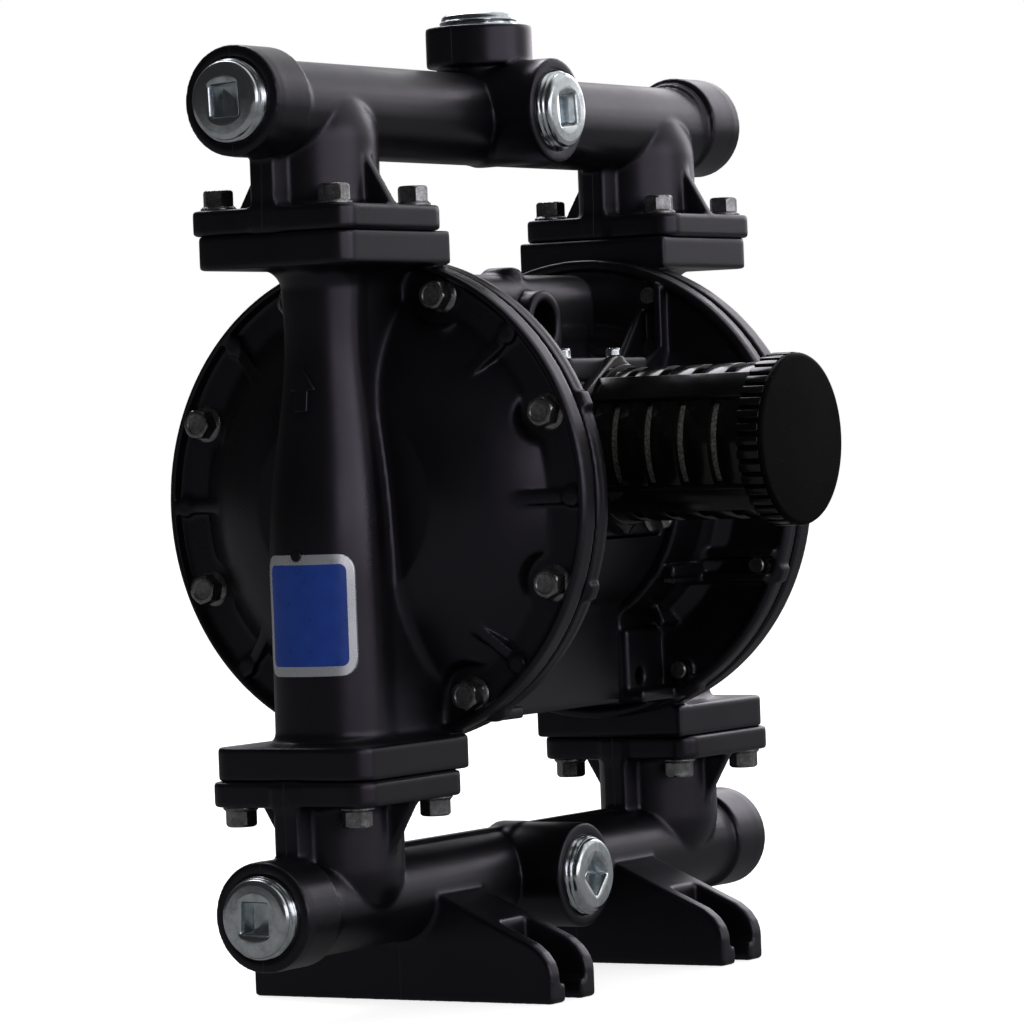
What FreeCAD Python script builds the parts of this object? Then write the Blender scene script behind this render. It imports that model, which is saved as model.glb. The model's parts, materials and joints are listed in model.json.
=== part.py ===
import FreeCAD, Part
import math
import os

# Air operated double diaphragm pump with one inch ports.
# Origin on the floor under the middle of the pump. X runs along the diaphragm shaft,
# the muffler points to -Y and +Z is up. All sizes are in millimetres.

# Overall layout
PORT_SPACING = 320.0       # inlet axis to outlet axis
INLET_HEIGHT = 43.7        # inlet axis above the floor
COLUMN_X = 129.5           # middle of the pump to each fluid column
MANIFOLD_OVERHANG = 58.2   # column axis to each end of a manifold
JOINT_OFFSET = 108.6       # shaft axis to each manifold joint plane

# Manifolds
PIPE_RADIUS = 19.2
PIPE_DROP = 2.0            # the outlet pipe hangs this far below its bore
PIPE_BORE = 13.0
BOSS_RADIUS = 21.9
BOSS_LENGTH = 25.0
BOSS_TAPER = 4.0
HUB_REACH = 37.2           # pipe axis to the face of a middle port
HUB_RADIUS = 22.4
HUB_NECK = 18.0
HUB_HEIGHT = 17.0          # length of the thick end of the outlet's top port
HUB_SLEEVE = 14.0          # length of the sleeve round the inlet pipe's front port
PORT_RADIUS = 16.5
PORT_DEPTH = 20.0
LEG_RADIUS = 25.0
LEG_DOME_DROP = 15.0       # pipe axis to the centre of the elbow's dome
PLATE_X = 77.0
PLATE_Y = 75.8
PLATE_THICK = 10.2
PLATE_CORNER = 9.0
WEB_THICK = 11.0
WEB_INNER = 39.0           # reach of the web from the column, towards the middle
WEB_OUTER = 39.3
GUSSET_THICK = 5.0
GUSSET_HEIGHT = 22.0
BOLT_SPACING_X = 58.0      # pattern of the manifold bolts
BOLT_SPACING_Y = 55.0
PIPE_RIB_WIDTH = 5.0
PIPE_RIB_HEIGHT = 2.5

# Feet
FOOT_INNER_X = 53.6
FOOT_OUTER_X = 88.8
FOOT_REACH = 72.0          # middle of the pump to the toe
FOOT_TOE_HEIGHT = 12.0
FOOT_SHOULDER_Y = 62.9
FOOT_SHOULDER_Z = 24.2
FOOT_TOP_Y = 19.0
CHEEK_THICK = 7.5
FOOT_BASE = 8.0
FOOT_SLOT = 12.4
FOOT_SLOT_CENTRE = 58.0    # middle of the pump to the round end of each slot
POCKET_START = 44.0

# Fluid covers
COVER_PLANE = 87.0         # inner face of a fluid cover
COVER_RADIUS = 100.0
RIM_DEPTH = 10.2
RIM_WALL = 3.0
CHANNEL_DEPTH = 5.5        # thickness left under the bolt channel
CHANNEL_WIDTH = 17.2       # edge of the cover to the foot of the dome
DOME_HEIGHT = 31.5
COVER_WALL = 5.0
SCALLOP_RADIUS = 12.5
COVER_RIB_WIDTH = 5.4
COVER_RIB_BOSS = 4.0
COVER_FLANGE_THICK = 13.6
COVER_FLANGE_OUT = 37.0    # column axis to the flange's outer edge
COVER_FLANGE_Y = 72.8
# Fluid column: height as a share of its half length, radius, shift away from the middle,
# half width of the web behind it
COLUMN_SECTIONS = [
    (1.00, 16.8, -2.3, 15.8), (0.60, 16.5, -2.3, 16.2), (0.34, 19.4, -2.1, 19.6),
    (0.06, 22.6, -0.8, 22.6), (-0.20, 23.9, 0.0, 25.0), (-0.50, 24.0, 0.0, 29.0),
    (-1.00, 24.3, 0.0, 29.5),
]
COLUMN_FLARE_TOP = 8.5
COLUMN_FLARE_BOTTOM = 4.5
COLUMN_BORE = 11.5
COLUMN_BORE_SHIFT = -1.5
CROSS_BORE = 12.0
CROSS_BORE_OFFSET = 40.0

# Cover bolts
COVER_BOLT_INSET = 10.5    # edge of the cover to its bolts
COVER_BOLT_ANGLES = [22.5, 67.5, 112.5, 157.5, 202.5, 241.5, 298.5, 337.5]
COVER_RIB_ANGLES = [0.0, 45.0, 135.0, 180.0, 222.0, 318.0]
BOLT_RADIUS = 3.175
BOLT_CLEARANCE = 0.3
THREAD_CLEARANCE = 0.03
HEX_FLATS = 11.1
HEX_HEIGHT = 6.5
WASHER_RADIUS = 7.2
WASHER_HEIGHT = 1.6
COVER_BOLT_GRIP = 21.0
MANIFOLD_BOLT_GRIP = 21.0

# Ball checks
BALL_RADIUS = 15.2
BALL_GAP = 0.3
BALL_LIFT = 7.0
SEAT_RADIUS = 22.4
SEAT_BORE = 12.0
SEAT_HEIGHT = 8.0
SEAT_SEAL = 2.0
SEAT_CLEARANCE = 0.05
CAGE_RADIUS = 19.5

# Air covers
COVER_GAP = 1.7
AIR_FLANGE = 6.1
AIR_RIM_WIDTH = 4.5
AIR_RIM_DEPTH = 3.2
DISH_INNER = 48.0          # plane of the joint with the centre housing
DISH_RADIUS = 61.5
DISH_LEG_WALL = 5.0
DISH_WALL = 4.5
DISH_FLOOR = 5.0
AIR_BOSS_RADIUS = 7.0
AIR_BOSS_DEPTH = 5.5
AIR_RIB_THICK = 3.6
AIR_LUG_LENGTH = 5.0
AIR_RIB_INNER = 50.0
AIR_RIB_FLAT = 22.0        # level part of a rib's edge, from the bolt inwards
AIR_RIB_SHORT = 79.0       # reach of the short ribs from the shaft
AIR_SCREW_GRIP = 7.0
AIR_SCREW_INSET = 17.5     # outside of the dish to its screws
AIR_SCREW_ANGLES = [95.0, 140.0, 180.0, 220.0, 265.0, 310.0]

# Diaphragms and shaft
BEAD_INSET = 5.5           # bolt circle to the bead
BEAD_WIDTH = 12.0
BEAD_DEPTH = 3.0
BEAD_CLEARANCE = 0.05
DIAPHRAGM_THICK = 3.0
ROLL_ROOM = 4.0            # flat left beside the roll, both sides together
CHAMBER_INSET = 6.0        # bead to the wall of the fluid chamber
ROLL_WIDTH = 16.0          # chamber wall to the clamping plates
SHAFT_RADIUS = 9.5
SHAFT_CLEARANCE = 0.05
SHAFT_STROKE = 10.0
AIR_PLATE_THICK = 8.0
FLUID_PLATE_THICK = 7.0
PLATE_BOLT_RADIUS = 5.0
PLATE_BOLT_DEPTH = 18.0
PLATE_BOLT_HEAD = 6.5
PLATE_BOLT_FLATS = 17.0
BUSH_RADIUS = 13.0
BUSH_LENGTH = 14.0
SEAL_LENGTH = 5.0
SEAL_RADIUS = 12.5

# Centre housing
BODY_RADIUS = 58.0
LEG_HALF_WIDTH = 30.0
LEG_BOTTOM = 91.0          # shaft axis to the flat underside
LEG_NECK = 40.0
TOP_BLOCK_X = 56.0
TOP_BLOCK_Y = 20.0
TOP_BLOCK_TOP = 90.8       # shaft axis to the top of the inlet block
TOP_BLOCK_STEP = 64.5
TOP_BLOCK_ROUND = 12.0
AIR_INLET_HEIGHT = 71.3    # shaft axis to the air inlet axis
AIR_INLET_BOSS = 14.0
AIR_INLET_RADIUS = 9.0
AIR_INLET_DEPTH = 22.0
AIR_INLET_FACE = 28.0
TOP_BUMP_RADIUS = 7.0

# Air valve and muffler
VALVE_HEIGHT = 19.4        # shaft axis to the valve and muffler axis
VALVE_X = 38.0
VALVE_DEPTH = 30.0
VALVE_BELOW = 38.0
VALVE_ABOVE = 36.6
VALVE_GASKET = 1.0
VALVE_POCKET_CLEARANCE = 1.0
SPOOL_RADIUS = 9.0
SPOOL_WAIST = 6.0
SPOOL_LANDS = 4
SPOOL_LAND_LENGTH = 9.0
SPOOL_HALF = 30.0
SPOOL_TRAVEL = 6.0
SPOOL_OFFSET = 43.0
SPOOL_CLEARANCE = 0.05
VALVE_CAP_THICK = 4.0
VALVE_CAP_RADIUS = 14.0
VALVE_SCREW_X = 30.0
VALVE_TOP_SCREW_X = 21.0
VALVE_TOP_SCREW_Y = 49.0
VALVE_TOP_SCREW_RADIUS = 1.7
VALVE_TOP_SCREW_FLATS = 6.0
VALVE_TOP_SCREW_HEAD = 4.0
VALVE_TOP_SCREW_GRIP = 8.0
VALVE_SCREW_RISE = 8.0     # bottom of the valve to its front screws
VALVE_SCREW_THREAD = 12.0
MUFFLER_FLATS = 66.0
MUFFLER_PLATE = 6.0
MUFFLER_RADIUS = 32.0
MUFFLER_WALL = 5.0
MUFFLER_CAP_RADIUS = 35.6
MUFFLER_CAP_LENGTH = 12.4
MUFFLER_FACE = 147.4       # middle of the pump to the face of the cap
MUFFLER_SKIRT = 4.0
MUFFLER_BAR = 1.4          # how far the plain bars stand proud
MUFFLER_PORT = 10.0
SLOT_WIDTH = 4.0
SLOT_PITCH = 15.4
SLOT_ROWS = 4
SLOT_SECTOR = 66.0
GRIP_COUNT = 36
GRIP_DEPTH = 1.2

# Pilot pins
PILOT_RADIUS = 3.0
PILOT_BUSH_RADIUS = 6.0
PILOT_TRAVEL = 4.0
PILOT_STOP_GAP = 0.3
PILOT_Y = 22.0
PILOT_Z = 12.0
PILOT_BUSH_LENGTH = 6.0
PILOT_HEAD_LENGTH = 2.0
PILOT_CLEARANCE = 0.05

# Plugs
PLUG_RADIUS = PORT_RADIUS - 0.05
PLUG_LENGTH = 16.0
PLUG_PROUD = 6.0
PLUG_CHAMFER = 1.2
PLUG_SQUARE = 12.7
PLUG_SQUARE_DEPTH = 10.0

SHAFT_Z = INLET_HEIGHT + PORT_SPACING / 2
OUTLET_HEIGHT = INLET_HEIGHT + PORT_SPACING
MANIFOLD_LENGTH = 2 * (COLUMN_X + MANIFOLD_OVERHANG)
JOINT_TOP = SHAFT_Z + JOINT_OFFSET
JOINT_BOTTOM = SHAFT_Z - JOINT_OFFSET
JOINT_DROP = PORT_SPACING / 2 - JOINT_OFFSET
COLUMN_HALF = JOINT_OFFSET - COVER_FLANGE_THICK
CHANNEL_FLOOR = COVER_PLANE + CHANNEL_DEPTH
DOME_RADIUS = COVER_RADIUS - CHANNEL_WIDTH
COVER_BOLT_CIRCLE = COVER_RADIUS - COVER_BOLT_INSET
BEAD_OUTER = COVER_BOLT_CIRCLE - BEAD_INSET
BEAD_INNER = BEAD_OUTER - BEAD_WIDTH
CHAMBER_RADIUS = BEAD_INNER - CHAMBER_INSET
PLATE_RADIUS = CHAMBER_RADIUS - ROLL_WIDTH
ROLL_RADIUS = (ROLL_WIDTH - ROLL_ROOM) / 2
AIR_SCREW_CIRCLE = DISH_RADIUS - AIR_SCREW_INSET
AIR_FACE = COVER_PLANE - COVER_GAP
AIR_BACK = AIR_FACE - AIR_FLANGE
VALVE_Z = SHAFT_Z + VALVE_HEIGHT
VALVE_FRONT = BODY_RADIUS
VALVE_BACK = VALVE_FRONT - VALVE_DEPTH
MUFFLER_BASE = VALVE_FRONT + MUFFLER_PLATE
DOME_TOP = COVER_PLANE + DOME_HEIGHT
DIAPHRAGM_AIR = COVER_PLANE - DIAPHRAGM_THICK
SHAFT_HALF = DIAPHRAGM_AIR - AIR_PLATE_THICK
HEIGHT_OF_REST = math.sqrt((BALL_RADIUS + BALL_GAP) ** 2 - SEAT_BORE ** 2)
HEIGHT_OF_STOP = math.sqrt((BALL_RADIUS + BALL_GAP) ** 2 - PIPE_BORE ** 2)
BALL_HEIGHT = HEIGHT_OF_REST - SEAT_SEAL
COLUMN_STOP_RADIUS = COLUMN_BORE - abs(COLUMN_BORE_SHIFT)
HEIGHT_OF_COLUMN_STOP = math.sqrt((BALL_RADIUS + BALL_GAP) ** 2 - COLUMN_STOP_RADIUS ** 2)
CAGE_DEPTH = BALL_HEIGHT + BALL_LIFT + HEIGHT_OF_STOP
COLUMN_CAGE_DEPTH = BALL_HEIGHT + BALL_LIFT + HEIGHT_OF_COLUMN_STOP

AXIS_X = FreeCAD.Vector(1, 0, 0)
AXIS_Y = FreeCAD.Vector(0, 1, 0)
AXIS_Z = FreeCAD.Vector(0, 0, 1)
SIDES = {"left": -1, "right": 1}


def vec(x, y, z):
    return FreeCAD.Vector(x, y, z)


def cylinder(radius, start, axis, length):
    return Part.makeCylinder(radius, length, start, axis)


def ring(outer, inner, start, axis, length):
    return cylinder(outer, start, axis, length).cut(cylinder(inner, start, axis, length))


def box(x, y, z):
    """A box from three pairs of limits."""
    return Part.makeBox(x[1] - x[0], y[1] - y[0], z[1] - z[0], vec(x[0], y[0], z[0]))


def fuse(shapes):
    return shapes[0].multiFuse(shapes[1:]).removeSplitter()


def cut(shape, tools):
    return shape.cut(tools).removeSplitter()


def face_of(points):
    corners = [vec(*point) for point in points]
    return Part.Face(Part.makePolygon(corners + corners[:1]))


def prism(points, direction):
    """A flat outline pushed along a vector."""
    return face_of(points).extrude(vec(*direction))


def on_axis(shape, origin, axis):
    """Place a shape that was made along +Z."""
    placed = shape.copy()
    placed.Placement = FreeCAD.Placement(origin, FreeCAD.Rotation(AXIS_Z, axis))
    return placed


def mirror_x(shape):
    return shape.mirror(vec(0, 0, 0), AXIS_X)


def side_of(shape, side):
    """A shape made for +X, on the side that is asked for."""
    return shape if side > 0 else mirror_x(shape)


def polar(radius, angle):
    """Y and Z on a circle round the shaft, counted from -Y upwards."""
    turn = math.radians(angle)
    return -radius * math.cos(turn), SHAFT_Z + radius * math.sin(turn)


def rounded_plate(centre_x, size_x, size_y, corner, bottom, height):
    """A plate with four round corners, made of an outline of lines and arcs."""
    half_x = size_x / 2
    half_y = size_y / 2
    solid = box((centre_x - half_x, centre_x + half_x), (-half_y, half_y), (bottom, bottom + height))
    corners = [edge for edge in solid.Edges if abs(edge.tangentAt(edge.FirstParameter).z) > 0.99]
    return solid.makeFillet(corner, corners)


def hex_prism(flats, height):
    corner = flats / math.sqrt(3)
    points = []
    for step in range(6):
        turn = math.radians(60 * step + 30)
        points.append((corner * math.cos(turn), corner * math.sin(turn), 0))
    return prism(points, (0, 0, height))


def hex_bolt(seat, axis, grip):
    """A hexagon bolt with a washer face: axis points from the seat to the head."""
    washer = Part.makeCone(WASHER_RADIUS, HEX_FLATS / 2 + 0.4, WASHER_HEIGHT)
    head = hex_prism(HEX_FLATS, WASHER_HEIGHT + HEX_HEIGHT)
    crown = Part.makeCone(HEX_FLATS / 2 + 2.6, HEX_FLATS / 2 - 0.6, WASHER_HEIGHT + HEX_HEIGHT)
    shank = cylinder(BOLT_RADIUS, vec(0, 0, -grip), AXIS_Z, grip)
    return on_axis(fuse([head.common(crown), washer, shank]), seat, axis)


def small_screw(seat, axis):
    """A small screw with a plain hexagon head, for the lid of the air valve."""
    head = hex_prism(VALVE_TOP_SCREW_FLATS, VALVE_TOP_SCREW_HEAD)
    shank = cylinder(VALVE_TOP_SCREW_RADIUS, vec(0, 0, -VALVE_TOP_SCREW_GRIP), AXIS_Z,
                     VALVE_TOP_SCREW_GRIP + 1)
    return on_axis(fuse([head, shank]), seat, axis)


def revolve_x(points):
    """Turn an outline of (x, radius) points round the shaft axis."""
    outline = face_of([(x, 0, SHAFT_Z + radius) for x, radius in points])
    return outline.revolve(vec(0, 0, SHAFT_Z), AXIS_X, 360)


def dome_edge(depth):
    """The dome's outline, moved inwards by a wall: arc from the channel to the crown."""
    low = (CHANNEL_FLOOR - depth, DOME_RADIUS - depth)
    middle = (COVER_PLANE + 0.62 * DOME_HEIGHT - depth, 0.80 * DOME_RADIUS - depth)
    high = (DOME_TOP - depth, 0.5 * DOME_RADIUS - depth)
    return low, middle, high


def dome_solid(base, depth):
    """The solid of revolution under the dome's curve, down to a base plane."""
    low, middle, high = [vec(x, 0, SHAFT_Z + r) for x, r in dome_edge(depth)]
    centre_low = vec(base, 0, SHAFT_Z)
    centre_high = vec(high.x + 0.8, 0, SHAFT_Z)
    edge_low = vec(base, 0, low.z)
    edges = [
        Part.LineSegment(centre_low, edge_low).toShape(),
        Part.LineSegment(edge_low, low).toShape(),
        Part.Arc(low, middle, high).toShape(),
        Part.LineSegment(high, centre_high).toShape(),
        Part.LineSegment(centre_high, centre_low).toShape(),
    ]
    return Part.Face(Part.Wire(edges)).revolve(centre_low, AXIS_X, 360)


def manifold_bolt_places():
    reach = BOLT_SPACING_X / 2
    half = BOLT_SPACING_Y / 2
    return [(COLUMN_X + dx, dy) for dx in (-reach, reach) for dy in (-half, half)]


def elbow():
    """One elbow for +X: leg, dome, plate, webs and gussets. Pipe axis at z = 0, leg down."""
    plate_top = PLATE_THICK - JOINT_DROP
    leg = cylinder(LEG_RADIUS, vec(COLUMN_X, 0, -JOINT_DROP), AXIS_Z, JOINT_DROP - LEG_DOME_DROP)
    dome = Part.makeSphere(LEG_RADIUS, vec(COLUMN_X, 0, -LEG_DOME_DROP))
    skirt = Part.makeCone(LEG_RADIUS + 3, LEG_RADIUS, 5, vec(COLUMN_X, 0, plate_top), AXIS_Z)
    plate = rounded_plate(COLUMN_X, PLATE_X, PLATE_Y, PLATE_CORNER, -JOINT_DROP, PLATE_THICK)
    web = box((COLUMN_X - WEB_INNER, COLUMN_X + WEB_OUTER), (-WEB_THICK / 2, WEB_THICK / 2),
              (-JOINT_DROP + 1, 0))
    pieces = [leg, dome, skirt, plate, web]
    for sign in (-1, 1):
        reach = sign * (PLATE_Y / 2 - 2)
        root = sign * (LEG_RADIUS - 3)
        start = COLUMN_X - GUSSET_THICK / 2
        outline = [(start, reach, plate_top - 1), (start, root, plate_top - 1),
                   (start, root, plate_top + GUSSET_HEIGHT)]
        pieces.append(prism(outline, (GUSSET_THICK, 0, 0)))
    return fuse(pieces)


def boss_end():
    """The thick end of a pipe for +X, with its taper and a broken outer edge."""
    end = MANIFOLD_LENGTH / 2
    start = end - BOSS_LENGTH
    points = [(start - BOSS_TAPER, 0), (start - BOSS_TAPER, PIPE_RADIUS - 0.1), (start, BOSS_RADIUS),
              (end - 1, BOSS_RADIUS), (end, BOSS_RADIUS - 1), (end, 0)]
    outline = face_of([(x, 0, radius) for x, radius in points])
    return outline.revolve(vec(0, 0, 0), AXIS_X, 360)


def manifold_body(with_top_port, front):
    """Pipe, ends, middle ports and both elbows, with the pipe axis at z = 0 and legs down."""
    half = MANIFOLD_LENGTH / 2 - BOSS_LENGTH
    right_elbow = elbow()
    right_boss = boss_end()
    hub_front = cylinder(BOSS_RADIUS, vec(0, 0, 0), front, HUB_REACH)
    if with_top_port:
        neck = cylinder(HUB_NECK, vec(0, 0, 0), AXIS_Z, HUB_REACH)
        thick = cylinder(HUB_RADIUS, vec(0, 0, HUB_REACH - HUB_HEIGHT), AXIS_Z, HUB_HEIGHT)
        hub = [neck, thick]
        drop = PIPE_DROP
    else:
        hub = [cylinder(HUB_RADIUS, front * (-HUB_SLEEVE / 3), front, HUB_SLEEVE)]
        drop = 0
    pipe = cylinder(PIPE_RADIUS, vec(-half, 0, -drop), AXIS_X, 2 * half)
    pieces = [pipe, hub_front, right_elbow, mirror_x(right_elbow), right_boss,
              mirror_x(right_boss)]
    return fuse(pieces + hub)


def port_tools(with_top_port, front):
    """Everything that is bored along the pipe and at its ports."""
    end = MANIFOLD_LENGTH / 2
    tools = [cylinder(PIPE_BORE, vec(-end, 0, 0), AXIS_X, 2 * end),
             cylinder(PORT_RADIUS, vec(end - PORT_DEPTH, 0, 0), AXIS_X, PORT_DEPTH + 1),
             cylinder(PORT_RADIUS, vec(PORT_DEPTH - end, 0, 0), -AXIS_X, PORT_DEPTH + 1),
             cylinder(PIPE_BORE, vec(0, 0, 0), front, HUB_REACH),
             cylinder(PORT_RADIUS, front * (HUB_REACH - PORT_DEPTH), front, PORT_DEPTH + 1)]
    if with_top_port:
        tools.append(cylinder(PIPE_BORE, vec(0, 0, 0), AXIS_Z, HUB_REACH))
        tools.append(cylinder(PORT_RADIUS, vec(0, 0, HUB_REACH - HUB_HEIGHT), AXIS_Z, HUB_HEIGHT + 1))
    return tools


def manifold_bolt_tools():
    holes = []
    for x, y in manifold_bolt_places():
        for sign in (-1, 1):
            start = vec(sign * x, y, -JOINT_DROP - 1)
            holes.append(cylinder(BOLT_RADIUS + BOLT_CLEARANCE, start, AXIS_Z, PLATE_THICK + 2))
    return holes


def outlet_manifold():
    tools = port_tools(True, -AXIS_Y) + manifold_bolt_tools()
    for sign in (-1, 1):
        foot = vec(sign * COLUMN_X, 0, -JOINT_DROP)
        tools.append(cylinder(CAGE_RADIUS, foot, AXIS_Z, CAGE_DEPTH))
        tools.append(cylinder(PIPE_BORE, foot, AXIS_Z, JOINT_DROP))
    body = cut(manifold_body(True, -AXIS_Y), tools)
    body.translate(vec(0, 0, OUTLET_HEIGHT))
    return body


def foot_profile(reach):
    """Side outline of a foot, symmetric about y = 0, as (y, z) points."""
    half = [(reach, 0), (reach, FOOT_TOE_HEIGHT), (reach - 3, FOOT_TOE_HEIGHT + 7),
            (FOOT_SHOULDER_Y, FOOT_SHOULDER_Z), (FOOT_TOP_Y, INLET_HEIGHT)]
    return [(-y, z) for y, z in half] + [(y, z) for y, z in reversed(half)]


def foot(side):
    """One foot: two cheeks under a sloping roof, open at the toes, with a slot in each toe."""
    width = FOOT_OUTER_X - FOOT_INNER_X
    outline = [(FOOT_INNER_X, y, z) for y, z in foot_profile(FOOT_REACH)]
    block = prism(outline, (width, 0, 0))
    tools = []
    inner = (FOOT_INNER_X + CHEEK_THICK, FOOT_OUTER_X - CHEEK_THICK)
    middle = (FOOT_INNER_X + FOOT_OUTER_X) / 2
    for sign in (-1, 1):
        toe = sorted((sign * POCKET_START, sign * (FOOT_REACH + 1)))
        tools.append(box(inner, toe, (FOOT_BASE, INLET_HEIGHT)))
        slot = sorted((sign * FOOT_SLOT_CENTRE, sign * (FOOT_REACH + 1)))
        tools.append(box((middle - FOOT_SLOT / 2, middle + FOOT_SLOT / 2), slot, (-1, FOOT_BASE + 1)))
        start = vec(middle, sign * FOOT_SLOT_CENTRE, -1)
        tools.append(cylinder(FOOT_SLOT / 2, start, AXIS_Z, FOOT_BASE + 2))
    core = box(inner, (-POCKET_START + CHEEK_THICK, POCKET_START - CHEEK_THICK),
               (-1, INLET_HEIGHT - PIPE_RADIUS - 2))
    return side_of(cut(block, tools + [core]), side)


def turned_over(shape):
    """The same shape turned half round the pipe, legs up."""
    turned = shape.copy()
    turned.rotate(vec(0, 0, 0), AXIS_X, 180)
    return turned


def inlet_manifold():
    body = turned_over(manifold_body(False, AXIS_Y))
    rib_reach = COLUMN_X - LEG_RADIUS
    rib = box((-rib_reach, rib_reach), (-PIPE_RIB_WIDTH / 2, PIPE_RIB_WIDTH / 2),
              (PIPE_RADIUS - 2, PIPE_RADIUS + PIPE_RIB_HEIGHT - 1))
    body = fuse([body, rib])
    body.translate(vec(0, 0, INLET_HEIGHT))
    body = fuse([body, foot(-1), foot(1)])
    tools = [turned_over(tool) for tool in port_tools(False, AXIS_Y) + manifold_bolt_tools()]
    for sign in (-1, 1):
        top = vec(sign * COLUMN_X, 0, JOINT_DROP)
        depth = SEAT_HEIGHT + SEAT_SEAL
        tools.append(cylinder(SEAT_RADIUS + SEAT_CLEARANCE, top, -AXIS_Z, depth))
        tools.append(cylinder(PIPE_BORE, top, -AXIS_Z, JOINT_DROP))
    for tool in tools:
        tool.translate(vec(0, 0, INLET_HEIGHT))
    return cut(body, tools)


def column():
    """The fluid column for +X: round sections swept smoothly, backed by a web to the disc."""
    rounds = []
    backs = []
    for share, radius, shift, half in COLUMN_SECTIONS:
        height = SHAFT_Z + share * COLUMN_HALF
        centre = COLUMN_X + shift
        circle = Part.makeCircle(radius, vec(centre, 0, height), AXIS_Z)
        rounds.append(Part.Wire([circle]))
        nose = 0.96 * radius
        corners = [vec(COVER_PLANE + 2, -half, height), vec(centre, -nose, height),
                   vec(centre, nose, height), vec(COVER_PLANE + 2, half, height)]
        backs.append(Part.makePolygon(corners + corners[:1]))
    solids = [Part.makeLoft(rounds, True, False), Part.makeLoft(backs, True, False)]
    for section, grow, flare in ((COLUMN_SECTIONS[0], 1, COLUMN_FLARE_TOP),
                                 (COLUMN_SECTIONS[-1], -1, COLUMN_FLARE_BOTTOM)):
        share, radius, shift, half = section
        height = SHAFT_Z + share * COLUMN_HALF
        solids += column_flare(COLUMN_X + shift, height, grow, radius, half, flare)
    return solids


def column_flare(centre, height, grow, radius, half, flare):
    """The hollow corner of a column and its web under a flange."""
    reach = flare * (1 - math.sqrt(0.5))
    back = COVER_PLANE + 2

    def hollow(origin, way, side):
        start = origin + way * side + AXIS_Z * (-grow * flare)
        middle = origin + way * (side + reach) + AXIS_Z * (-grow * reach)
        end = origin + way * (side + flare)
        top = end + AXIS_Z * grow
        inner = origin + AXIS_Z * grow
        low = origin + AXIS_Z * (-grow * flare)
        edges = [Part.Arc(start, middle, end).toShape()]
        corners = [end, top, inner, low, start]
        edges += [Part.LineSegment(a, b).toShape() for a, b in zip(corners, corners[1:])]
        return Part.Face(Part.Wire(edges))

    axis = vec(centre, 0, height)
    ring = hollow(axis, AXIS_X, radius).revolve(axis, AXIS_Z, 360)
    sides = [hollow(vec(back, 0, height), AXIS_Y * sign, half).extrude(AXIS_X * (centre - back))
             for sign in (-1, 1)]
    return [ring] + sides


def cover_flange(bottom):
    """A column flange with round outer corners and square inner ones."""
    outer = COLUMN_X + COVER_FLANGE_OUT
    half = COVER_FLANGE_Y / 2
    solid = box((COVER_PLANE, outer), (-half, half), (bottom, bottom + COVER_FLANGE_THICK))
    corners = []
    for edge in solid.Edges:
        upright = abs(edge.tangentAt(edge.FirstParameter).z) > 0.99
        if upright and edge.CenterOfMass.x > COLUMN_X:
            corners.append(edge)
    return solid.makeFillet(PLATE_CORNER, corners)


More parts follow.
